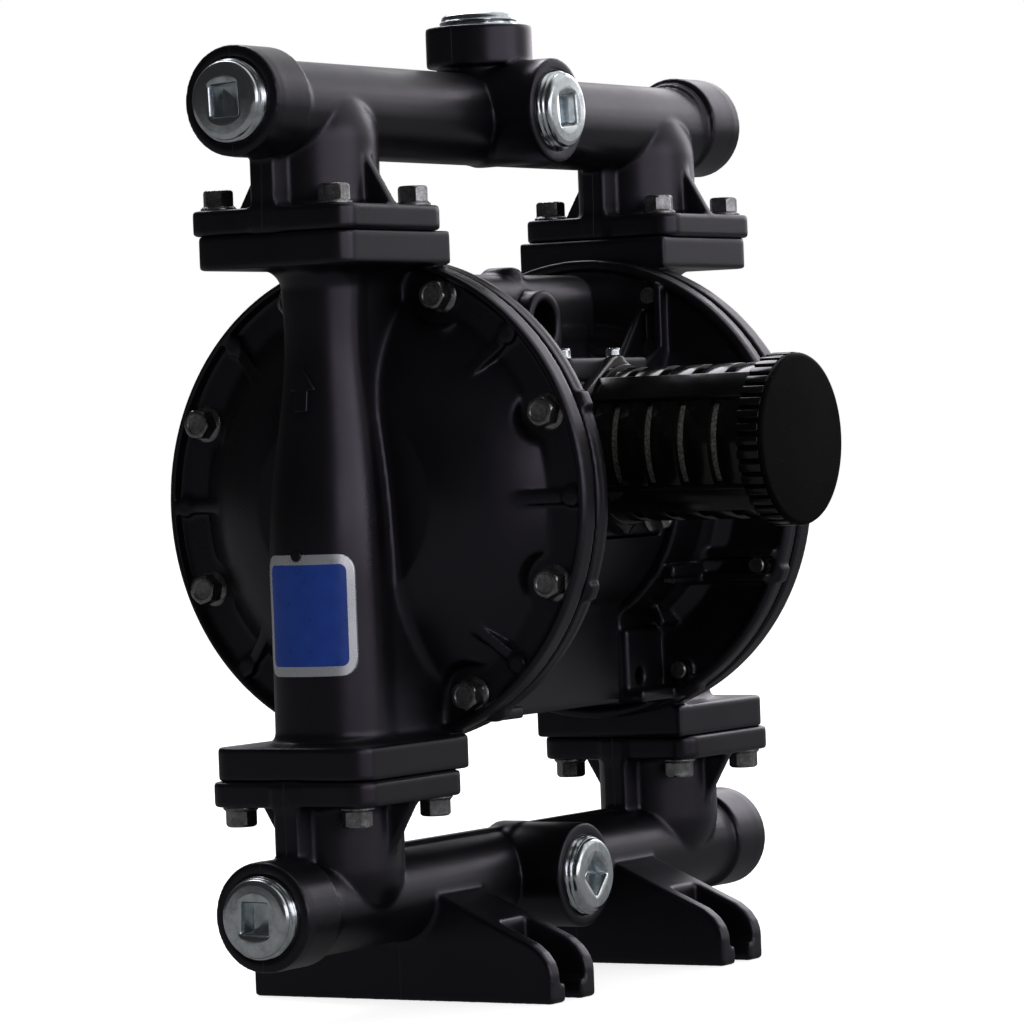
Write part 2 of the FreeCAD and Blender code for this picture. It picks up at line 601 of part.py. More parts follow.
def fluid_cover_right():
    rim_top = COVER_PLANE + RIM_DEPTH
    rim_inner = COVER_RADIUS - RIM_WALL
    disc = revolve_x([(COVER_PLANE, 0), (COVER_PLANE, COVER_RADIUS), (rim_top - 1, COVER_RADIUS),
                      (rim_top, COVER_RADIUS - 1), (rim_top, rim_inner), (CHANNEL_FLOOR, rim_inner),
                      (CHANNEL_FLOOR, 0)])
    dome = dome_solid(COVER_PLANE, 0)
    scallops = []
    for angle in COVER_BOLT_ANGLES:
        y, z = polar(COVER_BOLT_CIRCLE, angle)
        scallops.append(cylinder(SCALLOP_RADIUS, vec(CHANNEL_FLOOR, y, z), AXIS_X, DOME_HEIGHT))
    dome = dome.cut(scallops)
    pieces = [disc, dome] + column()
    pieces.append(cover_flange(JOINT_TOP - COVER_FLANGE_THICK))
    pieces.append(cover_flange(JOINT_BOTTOM))
    for angle in COVER_RIB_ANGLES:
        rib = box((COVER_PLANE + 1, rim_top - 1.2), (-COVER_RADIUS + 1, -DOME_RADIUS + 8),
                  (-COVER_RIB_WIDTH / 2, COVER_RIB_WIDTH / 2))
        rib.translate(vec(0, 0, SHAFT_Z))
        rib.rotate(vec(0, 0, SHAFT_Z), AXIS_X, -angle)
        y, z = polar(COVER_BOLT_CIRCLE + 2, angle)
        boss = cylinder(COVER_RIB_BOSS, vec(COVER_PLANE + 1, y, z), AXIS_X, RIM_DEPTH - 1.8)
        pieces.extend([rib, boss])
    body = fuse(pieces)

    tools = [dome_solid(COVER_PLANE - 1, COVER_WALL).common(
        cylinder(CHAMBER_RADIUS, vec(0, 0, SHAFT_Z), AXIS_X, 2 * DOME_TOP))]
    bore_x = COLUMN_X + COLUMN_BORE_SHIFT
    for sign in (-1, 1):
        level = SHAFT_Z + sign * CROSS_BORE_OFFSET
        cross_start = vec(COVER_PLANE + 0.4 * DOME_HEIGHT, 0, level)
        cross_length = bore_x - cross_start.x
        tools.append(cylinder(CROSS_BORE, cross_start, AXIS_X, cross_length))
    low = SHAFT_Z - CROSS_BORE_OFFSET + CROSS_BORE
    tools.append(cylinder(COLUMN_BORE, vec(bore_x, 0, JOINT_BOTTOM), AXIS_Z, low - JOINT_BOTTOM))
    high = SHAFT_Z + CROSS_BORE_OFFSET - CROSS_BORE
    tools.append(cylinder(COLUMN_BORE, vec(bore_x, 0, high), AXIS_Z, JOINT_TOP - high))
    tools.append(cylinder(CAGE_RADIUS, vec(COLUMN_X, 0, JOINT_BOTTOM), AXIS_Z, COLUMN_CAGE_DEPTH))
    tools.append(cylinder(SEAT_RADIUS + SEAT_CLEARANCE, vec(COLUMN_X, 0, JOINT_TOP), -AXIS_Z,
                          SEAT_HEIGHT + SEAT_SEAL))
    for angle in COVER_BOLT_ANGLES:
        y, z = polar(COVER_BOLT_CIRCLE, angle)
        tools.append(cylinder(BOLT_RADIUS + BOLT_CLEARANCE, vec(COVER_PLANE - 1, y, z), AXIS_X,
                              RIM_DEPTH + 2))
    for x, y in manifold_bolt_places():
        depth = MANIFOLD_BOLT_GRIP - PLATE_THICK + 0.5
        tools.append(cylinder(BOLT_RADIUS + THREAD_CLEARANCE, vec(x, y, JOINT_TOP), -AXIS_Z, depth))
        tools.append(cylinder(BOLT_RADIUS + THREAD_CLEARANCE, vec(x, y, JOINT_BOTTOM), AXIS_Z, depth))
    return cut(body, tools)


def air_cover_leg():
    """The flat footed part under the dish that matches the leg of the centre housing."""
    half = LEG_HALF_WIDTH
    low = SHAFT_Z - LEG_BOTTOM
    block = box((DISH_INNER, AIR_BACK + 1), (-half, half), (low, SHAFT_Z - LEG_NECK))
    wall = DISH_LEG_WALL
    pocket = box((DISH_INNER - 1, AIR_BACK - wall), (-half + wall, half - wall),
                 (low + wall, SHAFT_Z - DISH_RADIUS - wall))
    return block, pocket


def air_cover_ribs():
    """Ribs beside the bolts, square to the mould: level at the side bolts, upright elsewhere."""
    low = AIR_BACK - AIR_BOSS_DEPTH
    offset = AIR_BOSS_RADIUS - AIR_RIB_THICK
    ribs = []
    for angle in COVER_BOLT_ANGLES:
        y, z = polar(COVER_BOLT_CIRCLE, angle)
        rise = z - SHAFT_Z
        level = abs(y) > abs(rise)
        along = abs(y) if level else abs(rise)
        across = rise if level else y
        for start in (-AIR_BOSS_RADIUS, offset):
            short = not level and abs(across + start) < abs(across) - 1
            reach = AIR_RIB_SHORT if short else COVER_RADIUS
            flat = along - AIR_RIB_FLAT
            outline = [(AIR_BACK + 1, reach), (low, reach), (low, flat),
                       (DISH_INNER + DISH_FLOOR, AIR_RIB_INNER), (AIR_BACK + 1, AIR_RIB_INNER)]
            if short:
                outline[1:3] = [(AIR_BACK - 1, reach)]
            if level:
                turn = 1 if y > 0 else -1
                points = [(px, turn * out, SHAFT_Z + across + start) for px, out in outline]
                ribs.append(prism(points, (0, 0, AIR_RIB_THICK)))
            else:
                turn = 1 if rise > 0 else -1
                points = [(px, across + start, SHAFT_Z + turn * out) for px, out in outline]
                ribs.append(prism(points, (0, AIR_RIB_THICK, 0)))
    return ribs


def air_cover_right():
    """The dished cover between a diaphragm and the centre housing, ribbed on its back."""
    outer = COVER_RADIUS
    rim_inner = outer - AIR_RIM_WIDTH
    shell = revolve_x([
        (DISH_INNER, 0), (DISH_INNER, DISH_RADIUS), (AIR_BACK - 9, DISH_RADIUS + 1),
        (AIR_BACK, BEAD_INNER), (AIR_BACK, rim_inner), (AIR_BACK - AIR_RIM_DEPTH, rim_inner),
        (AIR_BACK - AIR_RIM_DEPTH, outer - 1), (AIR_BACK - AIR_RIM_DEPTH + 1, outer),
        (AIR_FACE, outer), (AIR_FACE, 0)])
    leg, leg_pocket = air_cover_leg()
    inside = cylinder(rim_inner + 1, vec(DISH_INNER, 0, SHAFT_Z), AXIS_X, AIR_FACE - DISH_INNER)
    pieces = [shell, leg] + [rib.common(inside) for rib in air_cover_ribs()]
    for angle in COVER_BOLT_ANGLES:
        y, z = polar(COVER_BOLT_CIRCLE, angle)
        start = vec(AIR_BACK - AIR_BOSS_DEPTH, y, z)
        pieces.append(cylinder(AIR_BOSS_RADIUS, start, AXIS_X, AIR_BOSS_DEPTH + 2))
        lug = box((AIR_BACK - AIR_RIM_DEPTH, AIR_FACE), (-outer - 3, -outer + 3),
                  (-AIR_LUG_LENGTH, AIR_LUG_LENGTH))
        lug.translate(vec(0, 0, SHAFT_Z))
        lug.rotate(vec(0, 0, SHAFT_Z), AXIS_X, -angle)
        pieces.append(lug)
    body = fuse(pieces)
    floor = DISH_INNER + DISH_FLOOR
    wall = DISH_RADIUS - DISH_WALL
    cavity = revolve_x([
        (floor, 0), (floor, wall - 4), (floor + 4, wall), (AIR_BACK - 7, wall),
        (AIR_FACE - BEAD_DEPTH, BEAD_INNER - 3), (AIR_FACE - BEAD_DEPTH, BEAD_OUTER + BEAD_CLEARANCE),
        (AIR_FACE + 1, BEAD_OUTER + BEAD_CLEARANCE), (AIR_FACE + 1, 0)])
    tools = [cavity, leg_pocket]
    tools.append(cylinder(BUSH_RADIUS + 2, vec(DISH_INNER - 1, 0, SHAFT_Z), AXIS_X, DISH_FLOOR + 2))
    pilot = vec(DISH_INNER - 1, PILOT_Y, SHAFT_Z + PILOT_Z)
    tools.append(cylinder(PILOT_BUSH_RADIUS + SEAT_CLEARANCE, pilot, AXIS_X, DISH_FLOOR + 2))
    bolt_length = AIR_BOSS_DEPTH + AIR_FLANGE + 2
    for angle in COVER_BOLT_ANGLES:
        y, z = polar(COVER_BOLT_CIRCLE, angle)
        start = vec(AIR_BACK - AIR_BOSS_DEPTH - 1, y, z)
        tools.append(cylinder(BOLT_RADIUS + THREAD_CLEARANCE, start, AXIS_X, bolt_length))
    for y, z in air_screw_places():
        start = vec(DISH_INNER - 1, y, z)
        tools.append(cylinder(BOLT_RADIUS + BOLT_CLEARANCE, start, AXIS_X, DISH_FLOOR + 2))
    return cut(body, tools)


def air_screw_places():
    return [polar(AIR_SCREW_CIRCLE, angle) for angle in AIR_SCREW_ANGLES]


def valve_block(grow, back, caps=0.0):
    """The outline of the air valve, grown all round by a clearance and by its end caps."""
    x = VALVE_X + caps + grow
    return box((-x, x), (-VALVE_FRONT - grow, back),
               (VALVE_Z - VALVE_BELOW - grow, VALVE_Z + VALVE_ABOVE + grow))


def center_housing():
    """The middle body: round core, flat footed leg, top block with the air inlet, valve seat."""
    core = cylinder(BODY_RADIUS, vec(-DISH_INNER, 0, SHAFT_Z), AXIS_X, 2 * DISH_INNER)
    leg = box((-DISH_INNER, DISH_INNER), (-LEG_HALF_WIDTH, LEG_HALF_WIDTH),
              (SHAFT_Z - LEG_BOTTOM, SHAFT_Z - LEG_NECK))
    step = SHAFT_Z + TOP_BLOCK_STEP
    top = SHAFT_Z + TOP_BLOCK_TOP
    block = box((-TOP_BLOCK_X, TOP_BLOCK_X), (-TOP_BLOCK_Y, TOP_BLOCK_Y), (step, top))
    block = block.makeFillet(TOP_BLOCK_ROUND, [edge for edge in block.Edges if edge.CenterOfMass.z > step + 1])
    stem = box((-DISH_INNER, DISH_INNER), (-TOP_BLOCK_Y, TOP_BLOCK_Y), (SHAFT_Z + LEG_NECK, step + 1))
    inlet_z = SHAFT_Z + AIR_INLET_HEIGHT
    boss = cylinder(AIR_INLET_BOSS, vec(0, 0, inlet_z), -AXIS_Y, AIR_INLET_FACE)
    apron = box((-AIR_INLET_BOSS, AIR_INLET_BOSS), (-AIR_INLET_FACE, 0),
                (VALVE_Z + VALVE_ABOVE + VALVE_POCKET_CLEARANCE, inlet_z))
    bump = cylinder(TOP_BUMP_RADIUS, vec(0, -TOP_BUMP_RADIUS, top - 1), AXIS_Z, 3)
    body = fuse([core, leg, block, stem, boss, apron, bump])

    tools = [valve_block(VALVE_POCKET_CLEARANCE, -VALVE_BACK + VALVE_GASKET, VALVE_CAP_THICK)]
    tools.append(cylinder(AIR_INLET_RADIUS, vec(0, -AIR_INLET_FACE - 1, inlet_z), AXIS_Y,
                          AIR_INLET_DEPTH + 1))
    tools.append(cylinder(SHAFT_RADIUS + 1, vec(-DISH_INNER - 1, 0, SHAFT_Z), AXIS_X,
                          2 * DISH_INNER + 2))
    for sign in (-1, 1):
        inward = AXIS_X * -sign
        mouth = vec(sign * (DISH_INNER + 1), 0, SHAFT_Z)
        tools.append(cylinder(BUSH_RADIUS + SEAT_CLEARANCE, mouth, inward, BUSH_LENGTH + 1))
        tools.append(cylinder(SEAL_RADIUS + SEAT_CLEARANCE, mouth, inward,
                              BUSH_LENGTH + SEAL_LENGTH + 1))
        pilot = vec(sign * (DISH_INNER + 1), PILOT_Y, SHAFT_Z + PILOT_Z)
        tools.append(cylinder(PILOT_BUSH_RADIUS + SEAT_CLEARANCE, pilot, inward,
                              PILOT_BUSH_LENGTH + PILOT_HEAD_LENGTH + PILOT_TRAVEL + 2))
        for y, z in air_screw_places():
            tools.append(cylinder(BOLT_RADIUS + THREAD_CLEARANCE, vec(sign * (DISH_INNER + 1), y, z),
                                  inward, AIR_SCREW_GRIP + 1.5))
    for x, z in valve_screw_places():
        tools.append(cylinder(BOLT_RADIUS + THREAD_CLEARANCE, vec(x, -VALVE_BACK, z), AXIS_Y,
                              VALVE_SCREW_THREAD + 2))
    return cut(body, tools)


def valve_screw_places():
    return [(sign * VALVE_SCREW_X, VALVE_Z - VALVE_BELOW + VALVE_SCREW_RISE) for sign in (-1, 1)]


def air_valve_body():
    block = valve_block(0, -VALVE_BACK)
    uprights = [edge for edge in block.Edges
                if edge.CenterOfMass.y < -VALVE_FRONT + 1
                and abs(edge.tangentAt(edge.FirstParameter).z) > 0.99]
    block = block.makeFillet(5, uprights)
    reach = VALVE_X + 1
    tools = [cylinder(SPOOL_RADIUS + SPOOL_CLEARANCE, vec(-reach, -SPOOL_OFFSET, VALVE_Z), AXIS_X,
                      2 * reach),
             cylinder(MUFFLER_PORT, vec(0, -VALVE_FRONT - 1, VALVE_Z), AXIS_Y,
                      VALVE_FRONT - SPOOL_OFFSET + 1)]
    for x, z in valve_screw_places():
        tools.append(cylinder(BOLT_RADIUS + BOLT_CLEARANCE, vec(x, -VALVE_FRONT - 1, z), AXIS_Y,
                              VALVE_FRONT - VALVE_BACK + 2))
    for sign in (-1, 1):
        start = vec(sign * VALVE_TOP_SCREW_X, -VALVE_TOP_SCREW_Y, VALVE_Z + VALVE_ABOVE)
        tools.append(cylinder(VALVE_TOP_SCREW_RADIUS + THREAD_CLEARANCE, start, -AXIS_Z,
                              VALVE_TOP_SCREW_GRIP + 1))
    return cut(block, tools)


def air_valve_gasket():
    sheet = box((-VALVE_X, VALVE_X), (-VALVE_BACK, -VALVE_BACK + VALVE_GASKET),
                (VALVE_Z - VALVE_BELOW, VALVE_Z + VALVE_ABOVE))
    holes = [cylinder(BOLT_RADIUS + BOLT_CLEARANCE, vec(x, -VALVE_BACK - 1, z), AXIS_Y, 3)
             for x, z in valve_screw_places()]
    return cut(sheet, holes)


def valve_end_cap(side):
    disc = cylinder(VALVE_CAP_RADIUS, vec(VALVE_X, -SPOOL_OFFSET, VALVE_Z), AXIS_X, VALVE_CAP_THICK)
    spigot_length = VALVE_X - SPOOL_HALF - SPOOL_TRAVEL - PILOT_STOP_GAP
    spigot = cylinder(SPOOL_RADIUS - 0.3, vec(VALVE_X - spigot_length, -SPOOL_OFFSET, VALVE_Z), AXIS_X,
                      spigot_length + 1)
    return side_of(fuse([disc, spigot]), side)


def air_valve_spool():
    start = vec(-SPOOL_HALF, -SPOOL_OFFSET, VALVE_Z)
    pieces = [cylinder(SPOOL_WAIST, start, AXIS_X, 2 * SPOOL_HALF)]
    pitch = (2 * SPOOL_HALF - SPOOL_LAND_LENGTH) / (SPOOL_LANDS - 1)
    for index in range(SPOOL_LANDS):
        land = start + AXIS_X * (index * pitch)
        pieces.append(cylinder(SPOOL_RADIUS, land, AXIS_X, SPOOL_LAND_LENGTH))
    return fuse(pieces)


def muffler_base():
    """The six sided mounting plate of the muffler with the spigot that carries its cage."""
    plate = on_axis(hex_prism(MUFFLER_FLATS, MUFFLER_PLATE), vec(0, -VALVE_FRONT, VALVE_Z), -AXIS_Y)
    corners = [edge for edge in plate.Edges if abs(edge.tangentAt(edge.FirstParameter).y) > 0.99]
    plate = plate.makeFillet(5, corners)
    spigot = cylinder(MUFFLER_RADIUS - MUFFLER_WALL - SEAT_CLEARANCE, vec(0, -MUFFLER_BASE + 1, VALVE_Z),
                      -AXIS_Y, 6)
    hole = cylinder(MUFFLER_PORT, vec(0, -VALVE_FRONT + 1, VALVE_Z), -AXIS_Y, MUFFLER_PLATE + 8)
    return cut(fuse([plate, spigot]), [hole])


def muffler_cage():
    """The slotted tube: four sectors of slots with plain bars between them."""
    start = vec(0, -MUFFLER_BASE, VALVE_Z)
    length = MUFFLER_FACE - MUFFLER_CAP_LENGTH + MUFFLER_SKIRT - MUFFLER_BASE
    body = ring(MUFFLER_RADIUS, MUFFLER_RADIUS - MUFFLER_WALL, start, -AXIS_Y, length)
    tools = []
    first = MUFFLER_BASE + (length - MUFFLER_SKIRT - SLOT_PITCH * (SLOT_ROWS - 1) - SLOT_WIDTH) / 2
    for row in range(SLOT_ROWS):
        place = vec(0, -first - row * SLOT_PITCH, VALVE_Z)
        outer = MUFFLER_RADIUS + 1
        wedge = Part.makeCylinder(outer, SLOT_WIDTH, place, -AXIS_Y, SLOT_SECTOR)
        for quarter in range(4):
            sector = wedge.copy()
            sector.rotate(vec(0, 0, VALVE_Z), -AXIS_Y, 90 * quarter - SLOT_SECTOR / 2)
            tools.append(sector)
    bars = []
    for quarter in range(4):
        bar = Part.makeCylinder(MUFFLER_RADIUS + MUFFLER_BAR, length - MUFFLER_SKIRT, start, -AXIS_Y,
                                90 - SLOT_SECTOR)
        bar = bar.cut(cylinder(MUFFLER_RADIUS - 1, start, -AXIS_Y, length))
        bar.rotate(vec(0, 0, VALVE_Z), -AXIS_Y, 90 * quarter + SLOT_SECTOR / 2)
        bars.append(bar)
    return fuse([cut(body, tools)] + bars)


def muffler_cap():
    """The gripped cap that closes the muffler."""
    points = []
    for step in range(2 * GRIP_COUNT):
        for share in (0.1, 0.9):
            turn = math.pi * (step + share) / GRIP_COUNT
            radius = MUFFLER_CAP_RADIUS - (GRIP_DEPTH if step % 2 else 0)
            points.append((radius * math.cos(turn), radius * math.sin(turn), 0))
    grip = prism(points, (0, 0, MUFFLER_CAP_LENGTH))
    edge = Part.makeCone(MUFFLER_CAP_RADIUS + 2, MUFFLER_CAP_RADIUS - 1.2, MUFFLER_CAP_LENGTH)
    grip = on_axis(grip.common(edge), vec(0, -MUFFLER_FACE + MUFFLER_CAP_LENGTH, VALVE_Z), -AXIS_Y)
    recess = cylinder(MUFFLER_RADIUS + SEAT_CLEARANCE, vec(0, -MUFFLER_FACE + MUFFLER_CAP_LENGTH, VALVE_Z),
                      -AXIS_Y, MUFFLER_SKIRT)
    return cut(grip, [recess])


def muffler_element():
    start = vec(0, -MUFFLER_BASE - 5, VALVE_Z)
    length = MUFFLER_FACE - MUFFLER_CAP_LENGTH + MUFFLER_SKIRT - MUFFLER_BASE - 5
    outer = MUFFLER_RADIUS - MUFFLER_WALL - 0.3
    return ring(outer, outer - 7, start, -AXIS_Y, length)


def pipe_plug(face, axis):
    """A threaded plug in a port: face is the middle of the port's mouth."""
    length = PLUG_LENGTH + PLUG_PROUD
    top = Part.makeCone(PLUG_RADIUS, PLUG_RADIUS - PLUG_CHAMFER, PLUG_CHAMFER,
                        vec(0, 0, PLUG_PROUD - PLUG_CHAMFER))
    body = cylinder(PLUG_RADIUS, vec(0, 0, -PLUG_LENGTH), AXIS_Z, length - PLUG_CHAMFER)
    half = PLUG_SQUARE / 2
    socket = box((-half, half), (-half, half), (PLUG_PROUD - PLUG_SQUARE_DEPTH, PLUG_PROUD + 1))
    return on_axis(cut(fuse([body, top]), [socket]), face, axis)


def cover_bolts(side):
    bolts = []
    for angle in COVER_BOLT_ANGLES:
        y, z = polar(COVER_BOLT_CIRCLE, angle)
        bolts.append(hex_bolt(vec(side * CHANNEL_FLOOR, y, z), AXIS_X * side, COVER_BOLT_GRIP))
    return Part.makeCompound(bolts)


def manifold_bolts(seat, axis):
    bolts = []
    for x, y in manifold_bolt_places():
        for sign in (-1, 1):
            bolts.append(hex_bolt(vec(sign * x, y, seat), axis, MANIFOLD_BOLT_GRIP))
    return Part.makeCompound(bolts)


def air_cover_screws(side):
    floor = DISH_INNER + DISH_FLOOR
    screws = []
    for y, z in air_screw_places():
        screws.append(hex_bolt(vec(side * floor, y, z), AXIS_X * side, DISH_FLOOR + AIR_SCREW_GRIP))
    return Part.makeCompound(screws)


def air_valve_screws():
    seat = -VALVE_FRONT
    screws = [hex_bolt(vec(x, seat, z), -AXIS_Y, VALVE_FRONT - VALVE_BACK + VALVE_SCREW_THREAD)
              for x, z in valve_screw_places()]
    return Part.makeCompound(screws)


def air_valve_top_screws():
    top = VALVE_Z + VALVE_ABOVE
    screws = [small_screw(vec(sign * VALVE_TOP_SCREW_X, -VALVE_TOP_SCREW_Y, top), AXIS_Z)
              for sign in (-1, 1)]
    return Part.makeCompound(screws)


def valve_seat(side, joint):
    start = vec(side * COLUMN_X, 0, joint - SEAT_SEAL - SEAT_HEIGHT)
    return ring(SEAT_RADIUS, SEAT_BORE, start, AXIS_Z, SEAT_HEIGHT)


def seat_seals(joint):
    seals = [ring(SEAT_RADIUS, SEAT_RADIUS - 2, vec(sign * COLUMN_X, 0, joint - SEAT_SEAL), AXIS_Z,
                  SEAT_SEAL) for sign in (-1, 1)]
    return Part.makeCompound(seals)


def check_ball(side, joint):
    return Part.makeSphere(BALL_RADIUS, vec(side * COLUMN_X, 0, joint + BALL_HEIGHT))


def diaphragm(side):
    """A moulded disc with a clamped bead and one rolled convolution round the plates."""
    air = DIAPHRAGM_AIR
    fluid = COVER_PLANE - BEAD_CLEARANCE
    middle = (PLATE_RADIUS + CHAMBER_RADIUS) / 2
    bead_air = AIR_FACE - BEAD_DEPTH + BEAD_CLEARANCE
    points = [(air, PLATE_BOLT_RADIUS + 0.3), (air, middle - ROLL_RADIUS)]
    steps = 6
    roll = [(math.sin(math.pi * i / steps), -math.cos(math.pi * i / steps)) for i in range(steps + 1)]
    points += [(air + ROLL_RADIUS * s, middle + ROLL_RADIUS * c) for s, c in roll[1:-1]]
    points += [(air, middle + ROLL_RADIUS), (air, BEAD_INNER), (bead_air, BEAD_INNER),
               (bead_air, BEAD_OUTER), (fluid, BEAD_OUTER), (fluid, middle + ROLL_RADIUS + 1)]
    outer = ROLL_RADIUS + 2
    points += [(fluid + outer * s, middle - outer * c) for s, c in roll[1:-1]]
    points += [(fluid, middle - ROLL_RADIUS - 1), (fluid, PLATE_BOLT_RADIUS + 0.3)]
    return side_of(revolve_x(points), side)


def air_plate(side):
    air = DIAPHRAGM_AIR
    disc = revolve_x([(SHAFT_HALF, PLATE_BOLT_RADIUS), (SHAFT_HALF, PLATE_RADIUS - 6),
                      (air - 3, PLATE_RADIUS), (air, PLATE_RADIUS), (air, PLATE_BOLT_RADIUS)])
    return side_of(disc, side)


def fluid_plate(side):
    low = COVER_PLANE
    high = low + FLUID_PLATE_THICK
    disc = revolve_x([(low, PLATE_BOLT_RADIUS), (low, PLATE_RADIUS), (low + 2, PLATE_RADIUS),
                      (high, PLATE_RADIUS - 14), (high, PLATE_BOLT_RADIUS)])
    return side_of(disc, side)


def plate_bolt(side):
    high = COVER_PLANE + FLUID_PLATE_THICK
    head = on_axis(hex_prism(PLATE_BOLT_FLATS, PLATE_BOLT_HEAD), vec(high, 0, SHAFT_Z), AXIS_X)
    shank_start = SHAFT_HALF - PLATE_BOLT_DEPTH
    shank = cylinder(PLATE_BOLT_RADIUS - THREAD_CLEARANCE, vec(shank_start, 0, SHAFT_Z), AXIS_X,
                     high - shank_start + 1)
    return side_of(fuse([head, shank]), side)


def diaphragm_shaft():
    body = cylinder(SHAFT_RADIUS, vec(-SHAFT_HALF, 0, SHAFT_Z), AXIS_X, 2 * SHAFT_HALF)
    tools = []
    for sign in (-1, 1):
        mouth = vec(sign * (SHAFT_HALF + 1), 0, SHAFT_Z)
        tools.append(cylinder(PLATE_BOLT_RADIUS, mouth, AXIS_X * -sign, PLATE_BOLT_DEPTH + 2))
    return cut(body, tools)


def shaft_bushes():
    bushes = [ring(BUSH_RADIUS, SHAFT_RADIUS + SHAFT_CLEARANCE, vec(sign * DISH_INNER, 0, SHAFT_Z),
                   AXIS_X * -sign, BUSH_LENGTH) for sign in (-1, 1)]
    return Part.makeCompound(bushes)


def shaft_seals():
    seals = [ring(SEAL_RADIUS, SHAFT_RADIUS + SHAFT_CLEARANCE,
                  vec(sign * (DISH_INNER - BUSH_LENGTH), 0, SHAFT_Z), AXIS_X * -sign, SEAL_LENGTH)
             for sign in (-1, 1)]
    return Part.makeCompound(seals)


def pilot_tip():
    """Where a pilot pin's tip rests: just clear of the air plate at the end of its stroke."""
    return SHAFT_HALF - SHAFT_STROKE - PILOT_STOP_GAP


def pilot_pin(side):
    y = PILOT_Y
    z = SHAFT_Z + PILOT_Z
    bush_back = DISH_INNER - PILOT_BUSH_LENGTH
    pin = cylinder(PILOT_RADIUS, vec(bush_back - 1, y, z), AXIS_X, pilot_tip() - bush_back + 1)
    head = cylinder(PILOT_RADIUS + 2, vec(bush_back - PILOT_STOP_GAP - PILOT_HEAD_LENGTH, y, z), AXIS_X,
                    PILOT_HEAD_LENGTH)
    return side_of(fuse([pin, head]), side)


def pilot_bush(side):
    start = vec(DISH_INNER - PILOT_BUSH_LENGTH, PILOT_Y, SHAFT_Z + PILOT_Z)
    length = PILOT_BUSH_LENGTH + DISH_FLOOR
    return side_of(ring(PILOT_BUSH_RADIUS, PILOT_RADIUS + PILOT_CLEARANCE, start, AXIS_X, length), side)


def pump_parts():
    """Every sub-part of the pump by name."""
    fluid_cover = fluid_cover_right()
    air_cover = air_cover_right()
    end = MANIFOLD_LENGTH / 2
    parts = {
        "center_housing": center_housing(),
        "outlet_manifold": outlet_manifold(),
        "inlet_manifold": inlet_manifold(),
        "outlet_manifold_bolts": manifold_bolts(JOINT_TOP + PLATE_THICK, AXIS_Z),
        "inlet_manifold_bolts": manifold_bolts(JOINT_BOTTOM - PLATE_THICK, -AXIS_Z),
        "outlet_end_plug": pipe_plug(vec(-end, 0, OUTLET_HEIGHT), -AXIS_X),
        "outlet_top_plug": pipe_plug(vec(0, 0, OUTLET_HEIGHT + HUB_REACH), AXIS_Z),
        "outlet_front_plug": pipe_plug(vec(0, -HUB_REACH, OUTLET_HEIGHT), -AXIS_Y),
        "inlet_end_plug": pipe_plug(vec(-end, 0, INLET_HEIGHT), -AXIS_X),
        "inlet_front_plug": pipe_plug(vec(0, -HUB_REACH, INLET_HEIGHT), -AXIS_Y),
        "outlet_seat_seals": seat_seals(JOINT_TOP),
        "inlet_seat_seals": seat_seals(JOINT_BOTTOM),
        "air_valve_body": air_valve_body(),
        "air_valve_gasket": air_valve_gasket(),
        "air_valve_spool": air_valve_spool(),
        "air_valve_screws": air_valve_screws(),
        "air_valve_top_screws": air_valve_top_screws(),
        "muffler_base": muffler_base(),
        "muffler_cage": muffler_cage(),
        "muffler_element": muffler_element(),
        "muffler_cap": muffler_cap(),
        "diaphragm_shaft": diaphragm_shaft(),
        "shaft_bushes": shaft_bushes(),
        "shaft_seals": shaft_seals(),
    }
    for name, side in SIDES.items():
        parts["fluid_cover_" + name] = side_of(fluid_cover, side)
        parts["air_cover_" + name] = side_of(air_cover, side)
        parts["cover_bolts_" + name] = cover_bolts(side)
        parts["air_cover_screws_" + name] = air_cover_screws(side)
        parts["outlet_seat_" + name] = valve_seat(side, JOINT_TOP)
        parts["inlet_seat_" + name] = valve_seat(side, JOINT_BOTTOM)
        parts["outlet_ball_" + name] = check_ball(side, JOINT_TOP)
        parts["inlet_ball_" + name] = check_ball(side, JOINT_BOTTOM)
        parts["diaphragm_" + name] = diaphragm(side)
        parts["air_plate_" + name] = air_plate(side)
        parts["fluid_plate_" + name] = fluid_plate(side)
        parts["plate_bolt_" + name] = plate_bolt(side)
        parts["air_valve_end_cap_" + name] = valve_end_cap(side)
        parts["pilot_pin_" + name] = pilot_pin(side)
        parts["pilot_bush_" + name] = pilot_bush(side)
    return parts


def main():
    os.makedirs("parts", exist_ok=True)
    for name, shape in pump_parts().items():
        if not shape.isValid():
            print("not valid:", name)
        shape.exportStep("parts/" + name + ".step")


main()
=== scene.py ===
import json
import math

import bmesh
import bpy
import numpy as np
from bpy.props import FloatProperty, FloatVectorProperty, IntProperty, PointerProperty
from mathutils import Matrix, Vector
from mathutils.bvhtree import BVHTree


